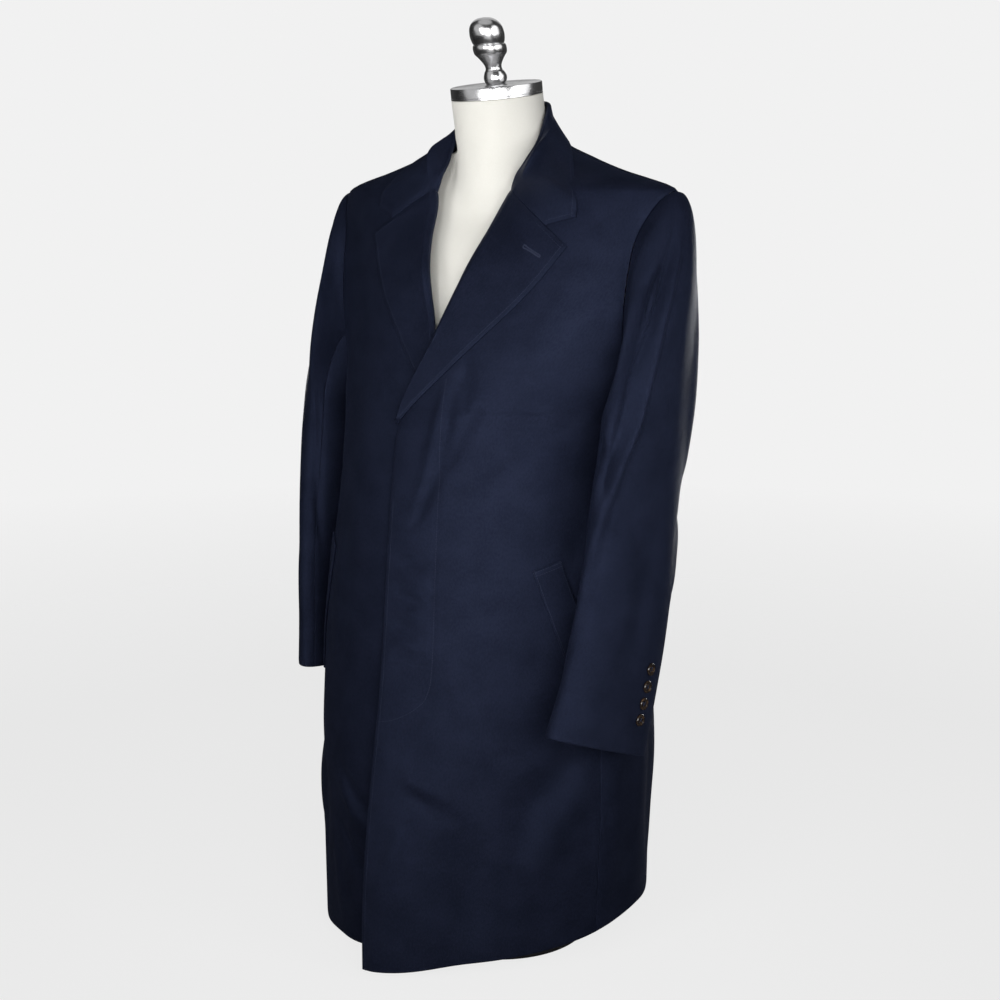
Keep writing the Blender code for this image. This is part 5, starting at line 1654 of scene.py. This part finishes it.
horn_button = button_mesh()
for side, word in ((1, "left"), (-1, "right")):
    for number in range(CUFF_BUTTONS):
        share = 1.0 - (CUFF_FIRST + CUFF_STEP * number) / ARM_LENGTH
        around = CUFF_BUTTON_AROUND
        here = arm_point(side, around, share)
        out = (arm_point(side, around + 1, share) - arm_point(side, around - 1, share)).cross(
            arm_point(side, around, share - 0.01) - arm_point(side, around, share + 0.01))
        out = out.normalized() * side
        point, _ = nearest(panels[word + "_top_sleeve"], here)
        lift = max(-0.0005, (Vector(point) - here).dot(out)) + SEAM + 0.0003
        turn = out.to_track_quat("Z", "Y").to_matrix().to_4x4()
        turn.translation = here + out * lift
        mesh = horn_button.copy()
        mesh.transform(turn)
        name = "%s_cuff_button_%d" % (word, number + 1)
        button = bpy.data.objects.new(name + "_horn", mesh)
        bpy.context.scene.collection.objects.link(button)
        seat(button, name)
        across = [turn @ Vector((x, y, 0.0021)) for x, y in
                  ((-0.0017, -0.0017), (0.0017, 0.0017), (-0.0017, 0.0017), (0.0017, -0.0017))]
        sew(name + "_thread", [[(across[0], out), (across[1], out)],
                               [(across[2], out), (across[3], out)]],
            navy_thread, pitch=0.0016, length=0.0030, width=0.0008)
print("button points:", len(horn_button.vertices))

# %% [markdown]
# The form is an oval trunk and a round neck melted together, covered with pale linen. Only
# its neck and chest show, but it is made whole, so that it is right from every side.

# %% The form
def form_width(level):
    """Near the neck the form follows the inside of the coat's shoulders."""
    own = read(FORM, "width", level)
    if not 0.950 < level < 1.001:
        return own
    slope = math.cos(math.radians(20))
    coat = read(BODY, "width", level + (CLOTH + SHOULDER_GAP) / slope)
    return min(coat, FORM_SHOULDER)


def form_point(angle, level):
    turn = math.radians(angle)
    across, along = math.sin(turn), math.cos(turn)
    depth = read(FORM, "front" if along > 0 else "back", level)
    oval = 1 / math.hypot(across / form_width(level), along / depth)
    neck = read(FORM, "neck", level)
    reach = (oval ** 8 + neck ** 8) ** 0.125
    y = -along * reach
    lean = math.tan(math.radians(NECK_LEAN)) * ease(level, 1.005, 1.068)
    return Vector((across * reach, y + read(FORM, "middle", level), level + y * lean))


FORM_ROUND = 120
levels = []
for low, high in zip(FORM_LEVELS, FORM_LEVELS[1:]):
    levels += [low, (2 * low + high) / 3, (low + 2 * high) / 3]
levels.append(FORM_LEVELS[-1])
points = [form_point(360 * k / FORM_ROUND, level) for level in levels for k in range(FORM_ROUND)]
faces = [tuple(reversed(range(FORM_ROUND)))]
for r in range(len(levels) - 1):
    for k in range(FORM_ROUND):
        a, b = r * FORM_ROUND + k, r * FORM_ROUND + (k + 1) % FORM_ROUND
        faces.append((a, b, b + FORM_ROUND, a + FORM_ROUND))
faces.append(tuple(range((len(levels) - 1) * FORM_ROUND, len(points))))
mesh = bpy.data.meshes.new("form_body")
mesh.from_pydata([tuple(p) for p in points], [], faces)
mesh.materials.append(form_linen)
mesh.shade_smooth()
mesh.set_sharp_from_angle(angle=math.radians(40))
form_body = bpy.data.objects.new("form_body", mesh)
bpy.context.scene.collection.objects.link(form_body)
seat(form_body, "form_torso")
print("form points:", len(points))

# %% [markdown]
# The cap, the finial, the pole and the base are turned on a lathe, so each is a profile
# spun about its axis. Edges get a small round so that they catch the light.

# %% The turned parts of the form
lean = math.radians(NECK_LEAN)
axis = Vector((0, -math.sin(lean), math.cos(lean)))
top = Vector((0, read(FORM, "middle", 1.068), 1.068)) + axis * SEAM
cap = [(0, 0), (CAP_RADIUS - 0.0006, 0), (CAP_RADIUS, 0.0006), (CAP_RADIUS, 0.0022),
       (CAP_RADIUS - 0.0005, 0.0026), (CAP_RADIUS, 0.0030), (CAP_RADIUS, CAP_HEIGHT - 0.0016),
       (CAP_RADIUS - 0.0003, CAP_HEIGHT - 0.0007), (CAP_RADIUS - 0.0016, CAP_HEIGHT),
       (CAP_RADIUS * 0.5, CAP_HEIGHT), (0, CAP_HEIGHT)]
piece = turned("neck_cap_metal", cap, 160, top, axis, polished_metal)
piece.data.set_sharp_from_angle(angle=math.radians(35))
seat(piece, "neck_cap")
crown = top + axis * (CAP_HEIGHT + SEAM)
further = Vector((0, -math.cos(lean), -math.sin(lean))) * math.tan(math.radians(FINIAL_LEAN))
piece = turned("neck_finial_metal", [(0.0, 0.0)] + smooth_profile(FINIAL[1:], 150), 80, crown,
               axis, polished_metal, further)
seat(piece, "neck_finial")
up = Vector((0, 0, 1))
base = [(0, 0), (BASE_RADIUS - 0.001, 0), (BASE_RADIUS, 0.001), (BASE_RADIUS, BASE_THICK - 0.0035),
        (BASE_RADIUS - 0.0010, BASE_THICK - 0.0013), (BASE_RADIUS - 0.0032, BASE_THICK),
        (BASE_RADIUS * 0.5, BASE_THICK), (0, BASE_THICK)]
piece = turned("stand_base_plate", base, 160, Vector(), up, black_enamel)
piece.data.set_sharp_from_angle(angle=math.radians(35))
seat(piece, "stand_base")
foot = BASE_THICK + SEAM
long_end = FORM[0].level - foot - SEAM
pole = [(0, 0), (POLE_RADIUS + 0.0113, 0), (POLE_RADIUS + 0.012, 0.0007),
        (POLE_RADIUS + 0.012, 0.007), (POLE_RADIUS + 0.011, 0.0085), (POLE_RADIUS + 0.003, 0.0122),
        (POLE_RADIUS, 0.015), (POLE_RADIUS, long_end), (0, long_end)]
piece = turned("stand_pole_tube", pole, 96, Vector((0, FORM[0].middle, foot)), up, black_enamel)
piece.data.set_sharp_from_angle(angle=math.radians(35))
seat(piece, "stand_pole")

# %% [markdown]
# Each sheet of cloth is listed with the size it was cut to before it was sewn: width,
# length and flat area, all of it measured along the cloth.

# %% The cut of each piece
CUTS = {  # width, length, flat area, how it is held, what it rests on
    "left_front": (0.400, 1.020, 0.300, "hung", ["form_torso"]),
    "right_front": (0.400, 1.020, 0.294, "hung", ["form_torso"]),
    "left_back": (0.360, 1.030, 0.305, "hung", ["form_torso"]),
    "right_back": (0.360, 1.030, 0.320, "hung", ["form_torso"]),
    "left_top_sleeve": (0.235, 0.690, 0.150, "hung", ["left_front", "left_back"]),
    "right_top_sleeve": (0.235, 0.690, 0.146, "hung", ["right_front", "right_back"]),
    "left_under_sleeve": (0.155, 0.560, 0.072, "hung", ["left_top_sleeve"]),
    "right_under_sleeve": (0.155, 0.560, 0.070, "hung", ["right_top_sleeve"]),
    "left_lapel": (0.130, 0.340, 0.024, "folded", ["left_front"]),
    "right_lapel": (0.130, 0.340, 0.023, "folded", ["right_front"]),
    "left_pocket_welt": (0.042, 0.185, 0.0076, "stretched", ["left_front"]),
    "right_pocket_welt": (0.042, 0.185, 0.0076, "stretched", ["right_front"]),
    "collar_fall": (0.460, 0.100, 0.036, "folded", ["collar_stand"]),
    "collar_stand": (0.360, 0.034, 0.0098, "stretched", ["left_back", "right_back"]),
}


def half_area(name):
    mesh = bpy.data.objects[name].data
    return sum(polygon.area for polygon in mesh.polygons) / 2


for name, (width, length, area, held, rests) in CUTS.items():
    piece = bpy.data.objects[name + "_cloth"]
    print(name, "cloth area", round(half_area(name + "_cloth"), 4), "cut area", area)

# %% [markdown]
# The light is that of a plain studio. Soft lamps stand in front, to one side and behind,
# and cards that only the metal sees give it bright and dark bands. The room looks pale but
# gives little light, so dark cloth keeps its shading. The floor fades into the room.

# %% Room, floor and lights
ROOM_COLOUR, ROOM_LIGHT = (0.880, 0.880, 0.880), 0.045
FLOOR_COLOUR, FLOOR_GLOW = (0.18, 0.18, 0.18), 0.885
METAL = ("neck_cap_metal", "neck_finial_metal", "stand_base_plate", "stand_pole_tube")
BEHIND = tuple(name + "_cloth" for name in CUTS) + ("form_body",) + tuple(
    "%s_cuff_button_%d_horn" % (word, number + 1)
    for word in ("left", "right") for number in range(CUFF_BUTTONS))
LIGHTS = [  # name, azimuth, elevation, distance, size, power, spread, height, only these
    ("front_light", 42, 0, 1.5, 0.9, 4.2, 95, 0.80, ()),
    ("left_light", 8, 2, 2.0, 0.9, 5.5, 110, 0.78, ()),
    ("side_light", 82, 6, 1.7, 0.9, 1.8, 90, 0.80, ()),
    ("back_light", 186, -7, 2.0, 0.9, 4.6, 110, 0.78, BEHIND),
    ("far_back_light", 232, -7, 2.0, 0.9, 3.4, 110, 0.78, BEHIND),
    ("form_fill", -38, 12, 1.6, 0.9, 10.5, 180, 0.95, ("form_body",)),
    ("card_left", -20, 10, 1.3, 1.7, 3.6, 180, 1.1, METAL),
    ("card_right", 100, 15, 1.4, 1.2, 5.0, 180, 1.1, METAL),
    ("card_top", 20, 75, 1.2, 1.6, 3.0, 180, 1.1, METAL),
    ("card_back", 215, 40, 1.6, 1.8, 4.0, 180, 1.1, METAL),
    ("card_low", 40, -40, 1.5, 1.2, 1.6, 180, 1.1, METAL),
]
scene = bpy.context.scene
scene.view_settings.view_transform = "Standard"
room = bpy.data.worlds.new("studio")
scene.world = room
room.use_nodes = True


def light_the_room(tree):
    """The room is pale where it is seen, and gives only a little light to the coat."""
    seen = tree.nodes["Background"]
    seen.inputs[0].default_value = (*ROOM_COLOUR, 1)
    given = tree.nodes.new("ShaderNodeBackground")
    grey = span(tree, noise(tree, place_of(tree, "Generated"), 1.6, 1.0), 0.35, 0.65, 0.3, 1.7)
    feed(tree, given.inputs[0], blend_colours(tree, grey, (0.05, 0.05, 0.05, 1), (1, 1, 1, 1)))
    given.inputs[1].default_value = ROOM_LIGHT
    chosen = tree.nodes.new("ShaderNodeMixShader")
    feed(tree, chosen.inputs[0], tree.nodes.new("ShaderNodeLightPath").outputs["Is Camera Ray"])
    feed(tree, chosen.inputs[1], given.outputs[0])
    feed(tree, chosen.inputs[2], seen.outputs[0])
    feed(tree, tree.nodes["World Output"].inputs["Surface"], chosen.outputs[0])


light_the_room(room.node_tree)


def floor_finish():
    made, tree, shader = new_finish("studio_floor")
    place = place_of(tree)
    shade = noise(tree, place, 3.0, 2.0)
    feed(tree, shader.inputs["Base Color"], blend_colours(
        tree, shade, (*FLOOR_COLOUR, 1), (*[1.012 * c for c in FLOOR_COLOUR], 1)))
    shader.inputs["Roughness"].default_value = 0.9
    shader.inputs["Specular IOR Level"].default_value = 0.1
    shader.inputs["Emission Color"].default_value = (*ROOM_COLOUR, 1)
    glow = maths(tree, "MULTIPLY", tree.nodes.new("ShaderNodeLightPath").outputs["Is Camera Ray"],
                 FLOOR_GLOW)
    feed(tree, shader.inputs["Emission Strength"], glow)
    flat = tree.nodes.new("ShaderNodeVectorMath")
    flat.operation = "LENGTH"
    feed(tree, flat.inputs[0], place)
    feed(tree, shader.inputs["Alpha"], span(tree, flat.outputs["Value"], 1.2, 3.4, 1.0, 0.0))
    return made


def make_floor():
    count, radius = 96, 3.5
    ring = [(radius * math.cos(2 * math.pi * k / count), radius * math.sin(2 * math.pi * k / count),
             0.0) for k in range(count)]
    mesh = bpy.data.meshes.new("studio_floor")
    mesh.from_pydata(ring, [], [tuple(range(count))])
    mesh.materials.append(floor_finish())
    made = bpy.data.objects.new("studio_floor", mesh)
    scene.collection.objects.link(made)
    return made


def soft_light(name, azimuth, elevation, away, size, power, spread, height, only):
    lamp = bpy.data.lights.new(name, "AREA")
    lamp.shape, lamp.size, lamp.energy = "DISK", size, power
    lamp.spread = math.radians(spread)
    made = bpy.data.objects.new(name, lamp)
    made.visible_camera = False
    scene.collection.objects.link(made)
    swing, rise = math.radians(azimuth), math.radians(elevation)
    back = Vector((math.sin(swing) * math.cos(rise), -math.cos(swing) * math.cos(rise),
                   math.sin(rise)))
    made.location = Vector((0, 0, height)) + back * away
    made.rotation_euler = back.to_track_quat("Z", "Y").to_euler()
    if only:
        lit = bpy.data.collections.new(name + "_lights")
        for thing in only:
            lit.objects.link(bpy.data.objects[thing])
        made.light_linking.receiver_collection = lit
    return made


make_floor()
for lamp in LIGHTS:
    soft_light(*lamp)
print("lights:", len(LIGHTS))

# %% [markdown]
# The camera stands a little to the wearer's left, at chest height, and looks down slightly.

# %% Camera
eye = bpy.data.cameras.new("studio_camera")
CAMERA_PLACE = (1.1472, -1.6383, 0.945)
LOOK_ROUND, LOOK_DOWN = 35.0, 10.62         # degrees
eye.sensor_width, eye.lens = 36.0, 57.6
eye.clip_start, eye.clip_end = 0.05, 50.0
camera = bpy.data.objects.new("studio_camera", eye)
scene.collection.objects.link(camera)
camera.location = CAMERA_PLACE
camera.rotation_euler = (math.radians(90 - LOOK_DOWN), 0.0, math.radians(LOOK_ROUND))
scene.camera = camera
